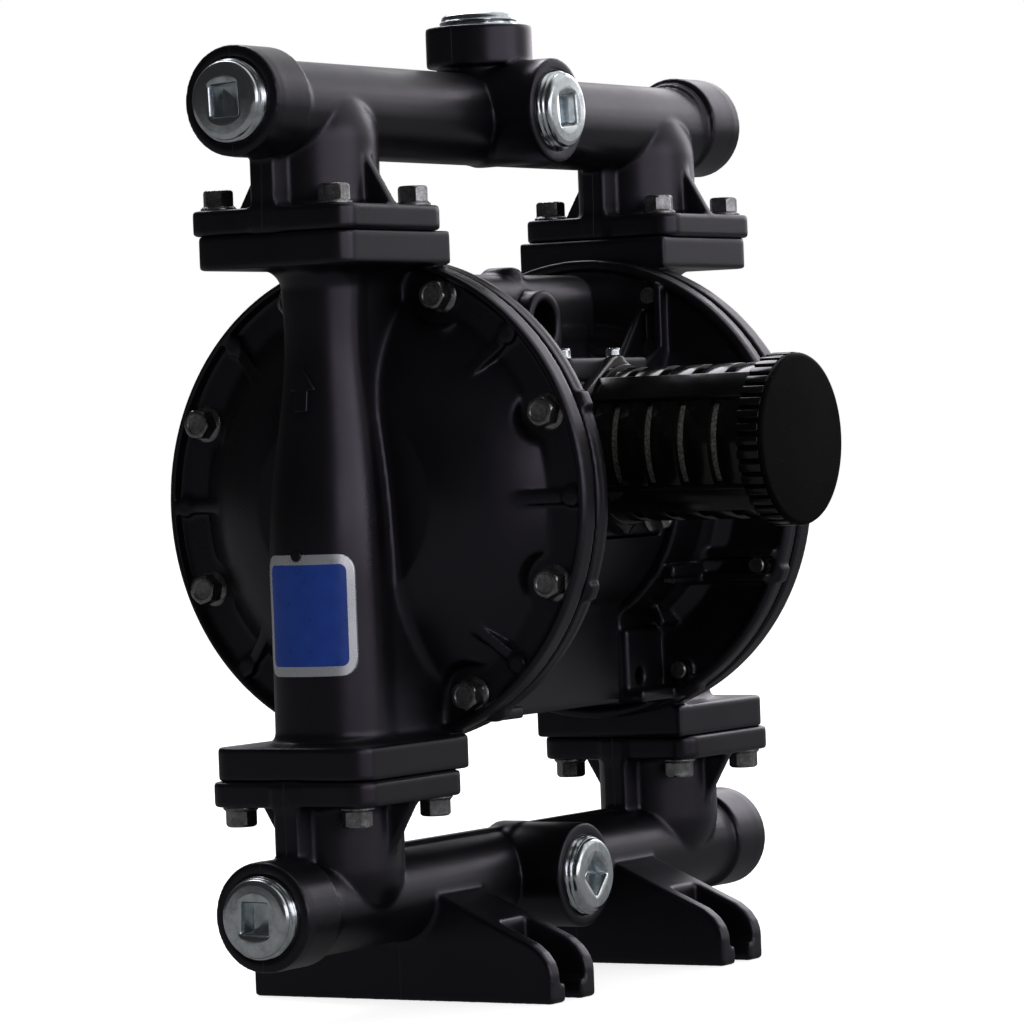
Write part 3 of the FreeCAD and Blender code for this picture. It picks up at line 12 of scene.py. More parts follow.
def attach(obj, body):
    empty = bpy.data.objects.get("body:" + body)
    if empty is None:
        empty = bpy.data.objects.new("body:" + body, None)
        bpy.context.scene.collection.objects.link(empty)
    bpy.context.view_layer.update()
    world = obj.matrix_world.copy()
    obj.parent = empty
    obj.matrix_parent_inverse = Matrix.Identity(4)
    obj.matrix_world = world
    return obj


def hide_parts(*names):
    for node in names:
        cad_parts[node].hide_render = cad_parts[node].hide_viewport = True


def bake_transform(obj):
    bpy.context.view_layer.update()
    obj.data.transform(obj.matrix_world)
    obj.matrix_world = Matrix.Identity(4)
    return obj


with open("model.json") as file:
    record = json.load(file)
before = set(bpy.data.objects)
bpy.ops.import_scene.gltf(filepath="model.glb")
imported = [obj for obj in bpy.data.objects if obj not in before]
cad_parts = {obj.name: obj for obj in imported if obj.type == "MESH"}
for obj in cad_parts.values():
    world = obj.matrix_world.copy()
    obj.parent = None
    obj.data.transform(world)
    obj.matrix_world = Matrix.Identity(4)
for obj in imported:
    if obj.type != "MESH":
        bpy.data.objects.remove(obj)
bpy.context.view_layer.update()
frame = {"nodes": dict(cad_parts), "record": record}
NODES = frame["nodes"]

bl_info = {
    "name": "Diaphragm pump dressing",
    "version": (1, 0, 0),
    "blender": (4, 5, 0),
    "location": "3D View > Sidebar > Pump",
    "description": "Dresses the packed model of an air operated double diaphragm pump",
    "category": "Object",
}

# Sizes of the pump, in millimetres, as in the CAD source
INLET_HEIGHT = 43.7
PORT_SPACING = 320.0
OUTLET_HEIGHT = INLET_HEIGHT + PORT_SPACING
SHAFT_Z = INLET_HEIGHT + PORT_SPACING / 2
COLUMN_X = 129.5
MANIFOLD_HALF = 187.7
JOINT_OFFSET = 108.6
JOINT_DROP = PORT_SPACING / 2 - JOINT_OFFSET
JOINT_TOP = SHAFT_Z + JOINT_OFFSET
JOINT_BOTTOM = SHAFT_Z - JOINT_OFFSET
PIPE_RADIUS = 19.2
PIPE_DROP = 2.0
PIPE_BORE = 13.0
BOSS_RADIUS = 21.9
BOSS_LENGTH = 25.0
HUB_RADIUS = 22.4
HUB_REACH = 37.2
HUB_NECK = 18.0
HUB_HEIGHT = 17.0
HUB_SLEEVE = 14.0
PORT_RADIUS = 16.5
PORT_DEPTH = 20.0
LEG_RADIUS = 25.0
LEG_DOME_DROP = 15.0
LEG_FLATNESS = 0.89
LEG_REACH = 28.1
PLATE_HALF_X = 38.5
PLATE_HALF_Y = 37.9
PLATE_THICK = 10.2
PLATE_CORNER = 9.0
BOLT_PITCH_X = 58.0
BOLT_PITCH_Y = 55.0
BOLT_HOLE = 3.5
BOLT_SHANK = 3.175
BOLT_HALF_FLATS = 5.55
BOLT_HEAD = 6.5
SEAT_RADIUS = 22.45
SEAT_DEPTH = 10.0
CAGE_RADIUS = 19.5
FOOT_INNER = 53.6
FOOT_OUTER = 88.8
FOOT_TOE = 72.0
FOOT_WALL = 7.5
FOOT_SLOT_Y = 58.0
FOOT_SLOT_RADIUS = 6.2
COVER_PLANE = 87.0
COVER_RADIUS = 100.0
RIM_DEPTH = 10.2
CHANNEL_FLOOR = 92.5
DOME_RADIUS = 82.8
DOME_HEIGHT = 31.5
COVER_FLANGE = 13.6
COVER_FLANGE_OUT = 37.0
COVER_FLANGE_SIDE = 36.4
COVER_BOLT_CIRCLE = 89.5
COVER_BOLT_ANGLES = (22.5, 67.5, 112.5, 157.5, 202.5, 241.5, 298.5, 337.5)
COVER_RIB_ANGLES = (0.0, 45.0, 135.0, 180.0, 225.5, 314.5)
COLUMN_SECTIONS = (
    (1.00, 16.8, -2.3, 15.8), (0.60, 16.5, -2.3, 16.2), (0.34, 19.4, -2.1, 19.6), (0.06, 22.6, -0.8, 22.6),
    (-0.20, 23.9, 0.0, 25.0), (-0.50, 24.0, 0.0, 29.0), (-1.00, 24.3, 0.0, 29.5),
)
COLUMN_FLARES = (8.5, 4.5)
COLUMN_BORE = 11.5
COLUMN_BORE_SHIFT = -1.5
AIR_FACE = 85.3
AIR_BACK = 79.2
AIR_RADIUS = 99.6
AIR_RIB_REACH = 96.5
AIR_RIB_WIDTH = 3.6
DISH_INNER = 48.0
DISH_RADIUS = 61.5
BEAD_INNER = 72.0
BEAD_OUTER = 84.0
BODY_RADIUS = 58.0
LEG_HALF_WIDTH = 30.0
LEG_BOTTOM = 91.0
TOP_BLOCK = 92.6
TOP_STEP = 64.5
AIR_INLET = 71.3
VALVE_Z = SHAFT_Z + 19.4
VALVE_FRONT = 58.0
VALVE_BACK = 28.0
VALVE_HALF = 38.0
VALVE_LOW = VALVE_Z - 38.0
VALVE_HIGH = VALVE_Z + 36.6
SHEET_AIR = 84.0
SHEET_FLUID = 86.95
SHEET_BEAD_AIR = 82.35
SHEET_BOLT_RADIUS = 5.3
ROLL_MIDDLE = 58.0
ROLL_INNER = 6.0
ROLL_OUTER = 8.0
SECTORS = 12
MUFFLER_BASE = 64.0
MUFFLER_FACE = 147.4
MUFFLER_RADIUS = 32.0
SLOT_PITCH = 15.4
SLOT_WIDTH = 4.0
CAP_DEPTH = 12.4
LABEL_Z = 160.3
LABEL_HALF = 24.2
LABEL_CORNER = 7.0
LABEL_TURN = 5.0
LABEL_BEND = 23.9
PLUG_PROUD = 5.4
MM = 0.001
FAR = 30.0


# Values that a user may change: lengths in metres, colours in linear light

def length_value(name, text, default, low, high, precision=4):
    return FloatProperty(name=name, description=text, default=default, min=low, max=high,
                         precision=precision, subtype="DISTANCE", unit="LENGTH")


def colour_value(name, text, default):
    return FloatVectorProperty(name=name, description=text, subtype="COLOR", default=default, min=0, max=1)


class PumpSizes(bpy.types.PropertyGroup):
    grid: length_value("Grid", "Spacing of the grid the moulded pieces are skinned on", 0.0009, 0.0005, 0.003, 5)
    fillet: length_value("Fillet", "Soft inside corner between a column and its cover's dome", 0.0036, 0.0, 0.02)
    triangles: IntProperty(name="Triangles", description="Most triangles of one moulded piece",
                           default=190000, min=20000, max=198000)
    label_width: length_value("Label width", "Width of the bare label round the column", 0.0442, 0.02, 0.08)
    thread_pitch: length_value("Thread pitch", "Pitch of the plugs' pipe thread", 0.0022, 0.001, 0.004, 5)
    grip_count: IntProperty(name="Grips", description="Grips round the muffler's cap", default=40, min=12, max=72)
    slot_rows: IntProperty(name="Slot rows", description="Rows of slots along the muffler", default=4, min=1, max=8)


class PumpColours(bpy.types.PropertyGroup):
    moulding: colour_value("Moulding", "Black moulded plastic", (0.0021, 0.0019, 0.0024))
    bolt: colour_value("Bolts", "Dark steel of the bolts", (0.32, 0.32, 0.325))
    zinc: colour_value("Zinc", "Zinc plating of plugs and screws", (0.84, 0.90, 0.93))
    label: colour_value("Label", "Field of the bare label", (0.007, 0.036, 0.230))
    border: colour_value("Label border", "Border of the bare label", (0.62, 0.64, 0.68))


# Objects

def linked(name, data):
    """A new object of the scene with this data."""
    made = bpy.data.objects.new(name, data)
    bpy.context.scene.collection.objects.link(made)
    return made


def ordered(side, near, far):
    """Two distances on one side of the middle, the lower first."""
    return sorted((side * near, side * far))


# Clay: forms as distances on a grid, added and cut with soft corners, then skinned

def soft_min(a, b, soft):
    if soft <= 0:
        return np.minimum(a, b)
    blend = np.maximum(soft - np.abs(a - b), 0) / soft
    return np.minimum(a, b) - blend * blend * soft * 0.25


def capped(side, along, low, high, edge):
    """A form from the distance to its side and two end planes, with round edges."""
    a = side + edge
    b = np.abs(along - (low + high) / 2) - (high - low) / 2 + edge
    return np.minimum(np.maximum(a, b), 0) + np.hypot(np.maximum(a, 0), np.maximum(b, 0)) - edge


def outline_distance(u, v, points):
    """Distance to a closed outline, negative inside."""
    nearest = np.full(np.broadcast(u, v).shape, 1e9, np.float32)
    inside = np.zeros(nearest.shape, bool)
    for (ax, ay), (bx, by) in zip(points, points[1:] + points[:1]):
        ex, ey = bx - ax, by - ay
        share = np.clip(((u - ax) * ex + (v - ay) * ey) / (ex * ex + ey * ey), 0, 1)
        nearest = np.minimum(nearest, (u - ax - share * ex) ** 2 + (v - ay - share * ey) ** 2)
        if ay != by:
            crosses = (ay > v) != (by > v)
            inside ^= crosses & (u < (v - ay) * ex / ey + ax)
    distance = np.sqrt(nearest)
    return np.where(inside, -distance, distance)


class Form:
    """A distance function with the box that it fills."""

    def __init__(self, low, high, at):
        self.low = low
        self.high = high
        self.at = at


def rod(axis, centre, radius, low, high, edge=0.5, tip=None):
    """A round rod along an axis; tip is its radius at the high end where it tapers."""
    others = [i for i in range(3) if i != axis]
    widest = max(radius, tip or 0)
    box_low, box_high = [low] * 3, [high] * 3
    for i, c in zip(others, centre):
        box_low[i], box_high[i] = c - widest, c + widest

    def at(*p):
        away = np.hypot(p[others[0]] - centre[0], p[others[1]] - centre[1])
        if tip is None:
            return capped(away - radius, p[axis], low, high, edge)
        slope = (tip - radius) / (high - low)
        side = (away - radius - slope * (p[axis] - low)) / math.hypot(1, slope)
        return capped(side, p[axis], low, high, edge)

    return Form(box_low, box_high, at)


def block(low, high, edge=0.8):
    def at(*p):
        parts = [np.abs(p[i] - (low[i] + high[i]) / 2) - (high[i] - low[i]) / 2 + edge for i in range(3)]
        outside = np.sqrt(sum(np.maximum(q, 0) ** 2 for q in parts))
        return outside + np.minimum(np.maximum(np.maximum(parts[0], parts[1]), parts[2]), 0) - edge
    return Form(low, high, at)


def plate(low, high, corner, edge=1.0, square_side=0):
    """A level plate with round corners; square_side leaves the corners of one X side square."""
    def at(x, y, z):
        cx, cy = (low[0] + high[0]) / 2, (low[1] + high[1]) / 2
        hx, hy = (high[0] - low[0]) / 2, (high[1] - low[1]) / 2
        radius = np.where((x - cx) * square_side > 0, 1.0, corner)
        qx, qy = np.abs(x - cx) - hx + radius, np.abs(y - cy) - hy + radius
        side = np.hypot(np.maximum(qx, 0), np.maximum(qy, 0)) + np.minimum(np.maximum(qx, qy), 0) - radius
        return capped(side, z, low[2], high[2], edge)
    return Form(low, high, at)


def pushed(axis, points, low, high, edge=0.8):
    """An outline in the other two axes, in their order, pushed along an axis."""
    others = [i for i in range(3) if i != axis]
    box_low, box_high = [low] * 3, [high] * 3
    for k, i in enumerate(others):
        box_low[i], box_high[i] = min(p[k] for p in points), max(p[k] for p in points)

    def at(*p):
        return capped(outline_distance(p[others[0]], p[others[1]], points), p[axis], low, high, edge)

    return Form(box_low, box_high, at)


def turned(points, z=SHAFT_Z):
    """An outline of (x, radius) points turned round a line along X."""
    widest = max(r for x, r in points)
    low_x, high_x = min(x for x, r in points), max(x for x, r in points)

    def at(x, y, up):
        fine = 0.4
        table_r = np.arange(0, widest + FAR, fine, dtype=np.float32)
        table = outline_distance(x[:, 0, 0][:, None], table_r[None, :], points)
        away = np.hypot(y, up - z)[0] / fine
        first = np.minimum(away.astype(np.int32), len(table_r) - 2)
        share = np.clip(away - first, 0, 1)
        return table[:, first] * (1 - share) + table[:, first + 1] * share

    return Form((low_x, -widest, z - widest), (high_x, widest, z + widest), at)


class Clay:
    """A grid of distances that forms are added to and cut from; its spacing is a share of the user's."""

    def __init__(self, low, high, share=1.0, step=None):
        self.step = step = step or share * bpy.context.scene.pump_sizes.grid / MM
        self.axes = [np.arange(a - 2 * step, b + 3 * step, step, dtype=np.float32) for a, b in zip(low, high)]
        self.field = np.full([len(axis) for axis in self.axes], FAR, np.float32)

    def window(self, form, soft):
        margin = soft + 2.5 * self.step
        where = []
        for axis, a, b in zip(self.axes, form.low, form.high):
            first = max(int(np.searchsorted(axis, a - margin)) - 1, 0)
            where.append(slice(first, int(np.searchsorted(axis, b + margin)) + 1))
        x, y, z = (axis[part] for axis, part in zip(self.axes, where))
        return tuple(where), (x[:, None, None], y[None, :, None], z[None, None, :])

    def add(self, form, soft=0.0, sign=1):
        where, place = self.window(form, soft)
        if self.field[where].size:
            self.field[where] = sign * soft_min(sign * self.field[where], form.at(*place), soft)

    def cut(self, form, soft=0.0):
        self.add(form, soft, -1)

    def skin(self):
        """Points and four sided faces of the surface where the distance is nothing."""
        field, solid = self.field, self.field < 0
        count = np.zeros([n - 1 for n in solid.shape], np.uint8)
        for i in (0, 1):
            for j in (0, 1):
                for k in (0, 1):
                    count += solid[i:solid.shape[0] - 1 + i, j:solid.shape[1] - 1 + j, k:solid.shape[2] - 1 + k]
        mixed = (count > 0) & (count < 8)
        cells = np.argwhere(mixed)
        number = np.full(mixed.shape, -1, np.int32)
        number[mixed] = np.arange(len(cells))
        total = np.zeros((len(cells), 3), np.float32)
        hits = np.zeros(len(cells), np.float32)
        for axis in range(3):
            u, v = (axis + 1) % 3, (axis + 2) % 3
            for du in (0, 1):
                for dv in (0, 1):
                    start = np.zeros(3, int)
                    start[u], start[v] = du, dv
                    end = start.copy()
                    end[axis] = 1
                    a = field[tuple((cells + start).T)]
                    b = field[tuple((cells + end).T)]
                    hit = (a < 0) != (b < 0)
                    point = np.tile(start.astype(np.float32), (int(hit.sum()), 1))
                    point[:, axis] = a[hit] / (a[hit] - b[hit])
                    total[hit] += point
                    hits[hit] += 1
        corner = np.array([axis[0] for axis in self.axes], np.float32)
        points = corner + self.step * (cells + total / hits[:, None])
        faces = []
        for axis in range(3):
            u, v = (axis + 1) % 3, (axis + 2) % 3
            inner = [slice(1, -1)] * 3
            inner[axis] = slice(0, -1)
            outer = list(inner)
            outer[axis] = slice(1, None)
            low, high = solid[tuple(inner)], solid[tuple(outer)]
            places = np.argwhere(low != high)
            filled = low[tuple(places.T)]
            places[:, u] += 1
            places[:, v] += 1
            step_u, step_v = np.eye(3, dtype=int)[u], np.eye(3, dtype=int)[v]
            around = [places - step_u - step_v, places - step_v, places, places - step_u]
            quad = np.stack([number[tuple(p.T)] for p in around], 1)
            quad[~filled] = quad[~filled][:, ::-1]
            faces.append(quad)
        return points, np.concatenate(faces)


def relaxed(points, faces, rounds):
    """Each point moved half way to the middle of its neighbours, a few times."""
    start = faces.ravel()
    end = np.roll(faces, -1, axis=1).ravel()
    near = np.bincount(start, minlength=len(points)) + np.bincount(end, minlength=len(points))
    for _ in range(rounds):
        middle = np.empty_like(points)
        for axis in range(3):
            column = points[:, axis]
            middle[:, axis] = (np.bincount(start, column[end], len(points))
                               + np.bincount(end, column[start], len(points))) / near
        points = points + 0.5 * (middle - points)
    return points


def mesh_object(name, points, faces):
    """An object from points in millimetres and faces with the same number of corners."""
    mesh = bpy.data.meshes.new(name)
    mesh.vertices.add(len(points))
    mesh.vertices.foreach_set("co", (points * MM).astype(np.float32).ravel())
    corners = faces.shape[1]
    mesh.loops.add(faces.size)
    mesh.loops.foreach_set("vertex_index", faces.astype(np.int32).ravel())
    mesh.polygons.add(len(faces))
    mesh.polygons.foreach_set("loop_start", np.arange(0, faces.size, corners, dtype=np.int32))
    mesh.update(calc_edges=True)
    mesh.validate()
    mesh.shade_smooth()
    return linked(name, mesh)


def evaluated(piece):
    """The piece's modifiers turned to a plain mesh on the same object."""
    bpy.context.view_layer.update()
    graph = bpy.context.evaluated_depsgraph_get()
    mesh = bpy.data.meshes.new_from_object(piece.evaluated_get(graph), preserve_all_data_layers=True,
                                           depsgraph=graph)
    old = piece.data
    piece.modifiers.clear()
    piece.data = mesh
    if old.users == 0:
        bpy.data.meshes.remove(old)
    mesh.name = piece.name
    return piece


def skinned(clay, name, mirrored=False, rounds=2):
    """The clay as a piece: relaxed, thinned where it is flat, and shaded by its large faces."""
    sizes = bpy.context.scene.pump_sizes
    points, faces = clay.skin()
    points = relaxed(points, faces, rounds)
    if mirrored:
        points = points * np.array([-1, 1, 1], np.float32)
        faces = faces[:, ::-1]
    piece = mesh_object(name, points, faces)
    count = 2 * len(faces)
    if count > sizes.triangles:
        thin = piece.modifiers.new("Thin", "DECIMATE")
        thin.ratio = sizes.triangles / count
    weigh = piece.modifiers.new("Weigh", "WEIGHTED_NORMAL")
    weigh.keep_sharp = False
    return evaluated(piece)


def settle(piece, body, slot, material, *nodes):
    """Gives a finished piece its material and body, and hides the nodes that it stands for; slot is not used."""
    piece.data.materials.clear()
    piece.data.materials.append(material)
    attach(piece, body)
    if nodes:
        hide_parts(*nodes)
    return piece


# Moulded pieces

def cover_bolts():
    """The (y, z) places of the cover bolts on their circle."""
    turns = [math.radians(angle) for angle in COVER_BOLT_ANGLES]
    return [(-COVER_BOLT_CIRCLE * math.cos(turn), SHAFT_Z + COVER_BOLT_CIRCLE * math.sin(turn)) for turn in turns]


def spoke_axes(angle):
    """How far points lie out along a spoke of a cover, and across it."""
    cos, sin = math.cos(math.radians(angle)), math.sin(math.radians(angle))
    return lambda y, z: (-y * cos + (z - SHAFT_Z) * sin, y * sin + (z - SHAFT_Z) * cos)


def add_elbow(clay, side, axis_z, down):
    """One elbow of a manifold: its web, domed leg, plate and gussets."""
    x = side * COLUMN_X
    top = axis_z + down * (JOINT_DROP - PLATE_THICK)

    def level(low, high):
        return tuple(sorted((axis_z + down * low, axis_z + down * high)))

    low, high = level(4, JOINT_DROP - 1)
    clay.add(block((x - 39, -5.5, low), (x + 39, 5.5, high), 1.0), 1.6)
    centre = axis_z + down * LEG_DOME_DROP

    def leg(px, py, pz):
        beyond = np.maximum(down * (centre - pz), 0)
        side = np.sqrt((LEG_FLATNESS * (px - x)) ** 2 + py ** 2 + beyond ** 2) - LEG_RADIUS
        return np.maximum(side, down * (pz - axis_z) - JOINT_DROP)

    low, high = level(LEG_DOME_DROP - LEG_RADIUS, JOINT_DROP)
    clay.add(Form((x - LEG_REACH, -LEG_RADIUS, low), (x + LEG_REACH, LEG_RADIUS, high), leg), 0.9)
    low, high = level(JOINT_DROP - PLATE_THICK, JOINT_DROP)
    clay.add(plate((x - PLATE_HALF_X, -PLATE_HALF_Y, low), (x + PLATE_HALF_X, PLATE_HALF_Y, high),
                   PLATE_CORNER, 1.3), 3.4)
    for out in (-1, 1):
        outline = [(out * 36.4, top + down * 2), (out * 22, top + down * 2), (out * 22, top - down * 22.5),
                   (out * 23.6, top - down * 22.5), (out * 36.4, top - down * 0.8)]
        clay.add(pushed(0, outline, x - 2.5, x + 2.5, 0.7), 1.6)


def manifold_clay(axis_z, down, drop, low, high):
    """A manifold's outside without its hubs: pipe, elbows and end bosses. down is -1 or 1, the legs' way."""
    clay = Clay(low, high)
    end = MANIFOLD_HALF
    clay.add(rod(0, (0, axis_z + down * drop), PIPE_RADIUS, -end + 6, end - 6, 0.2))
    for side in (-1, 1):
        add_elbow(clay, side, axis_z, down)
        clay.add(rod(0, (0, axis_z), BOSS_RADIUS, *ordered(side, end - BOSS_LENGTH, end), 0.9), 1.8)
        near, far = (BOSS_RADIUS - 0.3, PIPE_RADIUS - 0.1)[::-side]
        clay.add(rod(0, (0, axis_z), near, *ordered(side, end - BOSS_LENGTH - 4, end - 5), 0.2, tip=far), 1.0)
    return clay


def bore_manifold(clay, axis_z, down, ports):
    """Pipe bore, port sockets and the valve chambers of the elbows."""
    end = MANIFOLD_HALF
    clay.cut(rod(0, (0, axis_z), PIPE_BORE, -end + 2, end - 2, 0.1))
    for side in (-1, 1):
        clay.cut(rod(0, (0, axis_z), PORT_RADIUS, *ordered(side, end - PORT_DEPTH, end + 3), 0.2), 0.8)
        foot = axis_z + down * JOINT_DROP
        depth, radius = (23.3, CAGE_RADIUS) if down < 0 else (SEAT_DEPTH, SEAT_RADIUS)
        chamber = sorted((foot + down * 2, foot - down * depth))
        clay.cut(rod(2, (side * COLUMN_X, 0), radius, *chamber, edge=0.2))
        bore = sorted((axis_z, foot))
        clay.cut(rod(2, (side * COLUMN_X, 0), PIPE_BORE, *bore, edge=0.2))
    for axis, centre, reach, depth in ports:
        bore = sorted((0 if axis == 1 else axis_z, reach))
        clay.cut(rod(axis, centre, PIPE_BORE, *bore, edge=0.2))
        inward = -1 if reach > bore[0] else 1
        mouth = sorted((reach + inward * depth, reach - 3 * inward))
        clay.cut(rod(axis, centre, PORT_RADIUS, *mouth, edge=0.2), 0.8)
    foot = axis_z + down * (JOINT_DROP - PLATE_THICK)
    for side in (-1, 1):
        for dx in (-0.5, 0.5):
            for dy in (-0.5, 0.5):
                place = (side * COLUMN_X + dx * BOLT_PITCH_X, dy * BOLT_PITCH_Y)
                hole = sorted((foot - 2 * down, foot + down * (PLATE_THICK + 2)))
                clay.cut(rod(2, place, BOLT_HOLE, *hole, edge=0.1))


def outlet_manifold_clay():
    z = OUTLET_HEIGHT
    low = (-MANIFOLD_HALF, -PLATE_HALF_Y, JOINT_TOP)
    high = (MANIFOLD_HALF, PLATE_HALF_Y, z + HUB_REACH)
    clay = manifold_clay(z, -1, PIPE_DROP, low, high)
    clay.add(rod(2, (0, 0), HUB_NECK, z, z + HUB_REACH - 4, 0.3), 1.2)
    clay.add(rod(1, (0, z), BOSS_RADIUS, -HUB_REACH, 4, 0.8), 1.2)
    clay.add(rod(2, (0, 0), HUB_RADIUS, z + HUB_REACH - HUB_HEIGHT, z + HUB_REACH, 0.9), 0.8)
    bore_manifold(clay, z, -1, [(1, (0, z), -HUB_REACH, PORT_DEPTH), (2, (0, 0), z + HUB_REACH, HUB_HEIGHT)])
    return clay


def add_foot(clay, side):
    """One foot: two cheeks under a sloping roof, open at the toes, with a slot in each toe."""
    inner, outer = ordered(side, FOOT_INNER, FOOT_OUTER)
    half = [(FOOT_TOE, 0.0), (FOOT_TOE, 12.0), (70.6, 16.5), (67.6, 20.6), (62.9, 24.2), (19.0, INLET_HEIGHT)]
    outline = [(-y, z) for y, z in half] + [(y, z) for y, z in reversed(half)]
    clay.add(pushed(0, outline, inner, outer, 1.0), 1.8)
    left, right = inner + FOOT_WALL, outer - FOOT_WALL
    middle, radius = (inner + outer) / 2, FOOT_SLOT_RADIUS
    for out in (-1, 1):
        near, far = ordered(out, 44.0, FOOT_TOE + 3)
        clay.cut(block((left, near, 8.0), (right, far, 60.0), 1.6), 1.2)
        near, far = ordered(out, FOOT_SLOT_Y, FOOT_TOE + 3)
        clay.cut(block((middle - radius, near, -3), (middle + radius, far, 11), 0.2), 0.6)
        clay.cut(rod(2, (middle, out * FOOT_SLOT_Y), radius, -3, 11, 0.2), 0.6)
    clay.cut(block((left, -36.5, -3), (right, 36.5, INLET_HEIGHT - PIPE_RADIUS - 2), 1.5), 0.8)


def inlet_manifold_clay():
    low = (-MANIFOLD_HALF, -FOOT_TOE, 0.0)
    high = (MANIFOLD_HALF, FOOT_TOE, JOINT_BOTTOM)
    z = INLET_HEIGHT
    clay = manifold_clay(z, 1, 0, low, high)
    for side in (-1, 1):
        add_foot(clay, side)
    clay.add(block((-COLUMN_X + 20, -2.5, z + 12), (COLUMN_X - 20, 2.5, z + PIPE_RADIUS + 1.5), 0.6), 0.8)
    clay.add(rod(1, (0, z), HUB_RADIUS, -2 * HUB_SLEEVE / 3, HUB_SLEEVE / 3, 1.2), 0.8)
    clay.add(rod(1, (0, z), BOSS_RADIUS, -HUB_REACH, 4, 0.8), 0.6)
    bore_manifold(clay, z, 1, [(1, (0, z), -HUB_REACH, PORT_DEPTH)])
    return clay


def column_form():
    """The fluid column on +X with the web behind it, from COLUMN_SECTIONS: a height as a share of the half
    column, and there the column's radius, its shift along X and the web's half width."""
    share, radius, shift, web = np.array(COLUMN_SECTIONS[::-1]).T
    half = JOINT_OFFSET - COVER_FLANGE

    def smooth(values, at):
        slopes = np.gradient(values, share)
        index = np.clip(np.searchsorted(share, at) - 1, 0, len(share) - 2)
        width = share[index + 1] - share[index]
        t = np.clip((at - share[index]) / width, 0, 1)
        return ((2 * t ** 3 - 3 * t ** 2 + 1) * values[index] + (t ** 3 - 2 * t ** 2 + t) * width * slopes[index]
                + (3 * t ** 2 - 2 * t ** 3) * values[index + 1] + (t ** 3 - t ** 2) * width * slopes[index + 1])

    def hollow(flare, away):
        away = np.clip(away, 0, flare)
        return flare - np.sqrt(flare ** 2 - (flare - away) ** 2)

    def at(x, y, z):
        rise = (z - SHAFT_Z).astype(float)
        place = np.clip(rise / half, -1, 1)
        flare = hollow(COLUMN_FLARES[0], half - rise) + hollow(COLUMN_FLARES[1], half + rise)
        r = (smooth(radius, place) + flare).astype(np.float32)
        c = (COLUMN_X + smooth(shift, place)).astype(np.float32)
        back = (smooth(web, place) + flare).astype(np.float32)
        along = np.clip((x - COVER_PLANE - 2) / (c - COVER_PLANE - 2), 0, 1)
        tube = np.hypot(x - c, y) - r
        sides = np.abs(y) - back - (0.96 * r - back) * along
        side = soft_min(tube, np.maximum(sides, np.maximum(x - c, COVER_PLANE + 1 - x)), 2.0)
        return np.maximum(side, np.abs(z - SHAFT_Z) - half - 2)

    return Form((COVER_PLANE, -38, JOINT_BOTTOM), (168, 38, JOINT_TOP), at)


def arc_points(low, middle, high, count):
    """Points along the arc through three points, low and high among them."""
    (ax, ay), (bx, by), (cx, cy) = low, middle, high
    d = 2 * (ax * (by - cy) + bx * (cy - ay) + cx * (ay - by))
    ux = ((ax ** 2 + ay ** 2) * (by - cy) + (bx ** 2 + by ** 2) * (cy - ay) + (cx ** 2 + cy ** 2) * (ay - by)) / d
    uy = ((ax ** 2 + ay ** 2) * (cx - bx) + (bx ** 2 + by ** 2) * (ax - cx) + (cx ** 2 + cy ** 2) * (bx - ax)) / d
    first, last = math.atan2(ay - uy, ax - ux), math.atan2(cy - uy, cx - ux)
    radius = math.hypot(ax - ux, ay - uy)
    turns = [first + (last - first) * i / (count - 1) for i in range(count)]
    return [(ux + radius * math.cos(t), uy + radius * math.sin(t)) for t in turns]


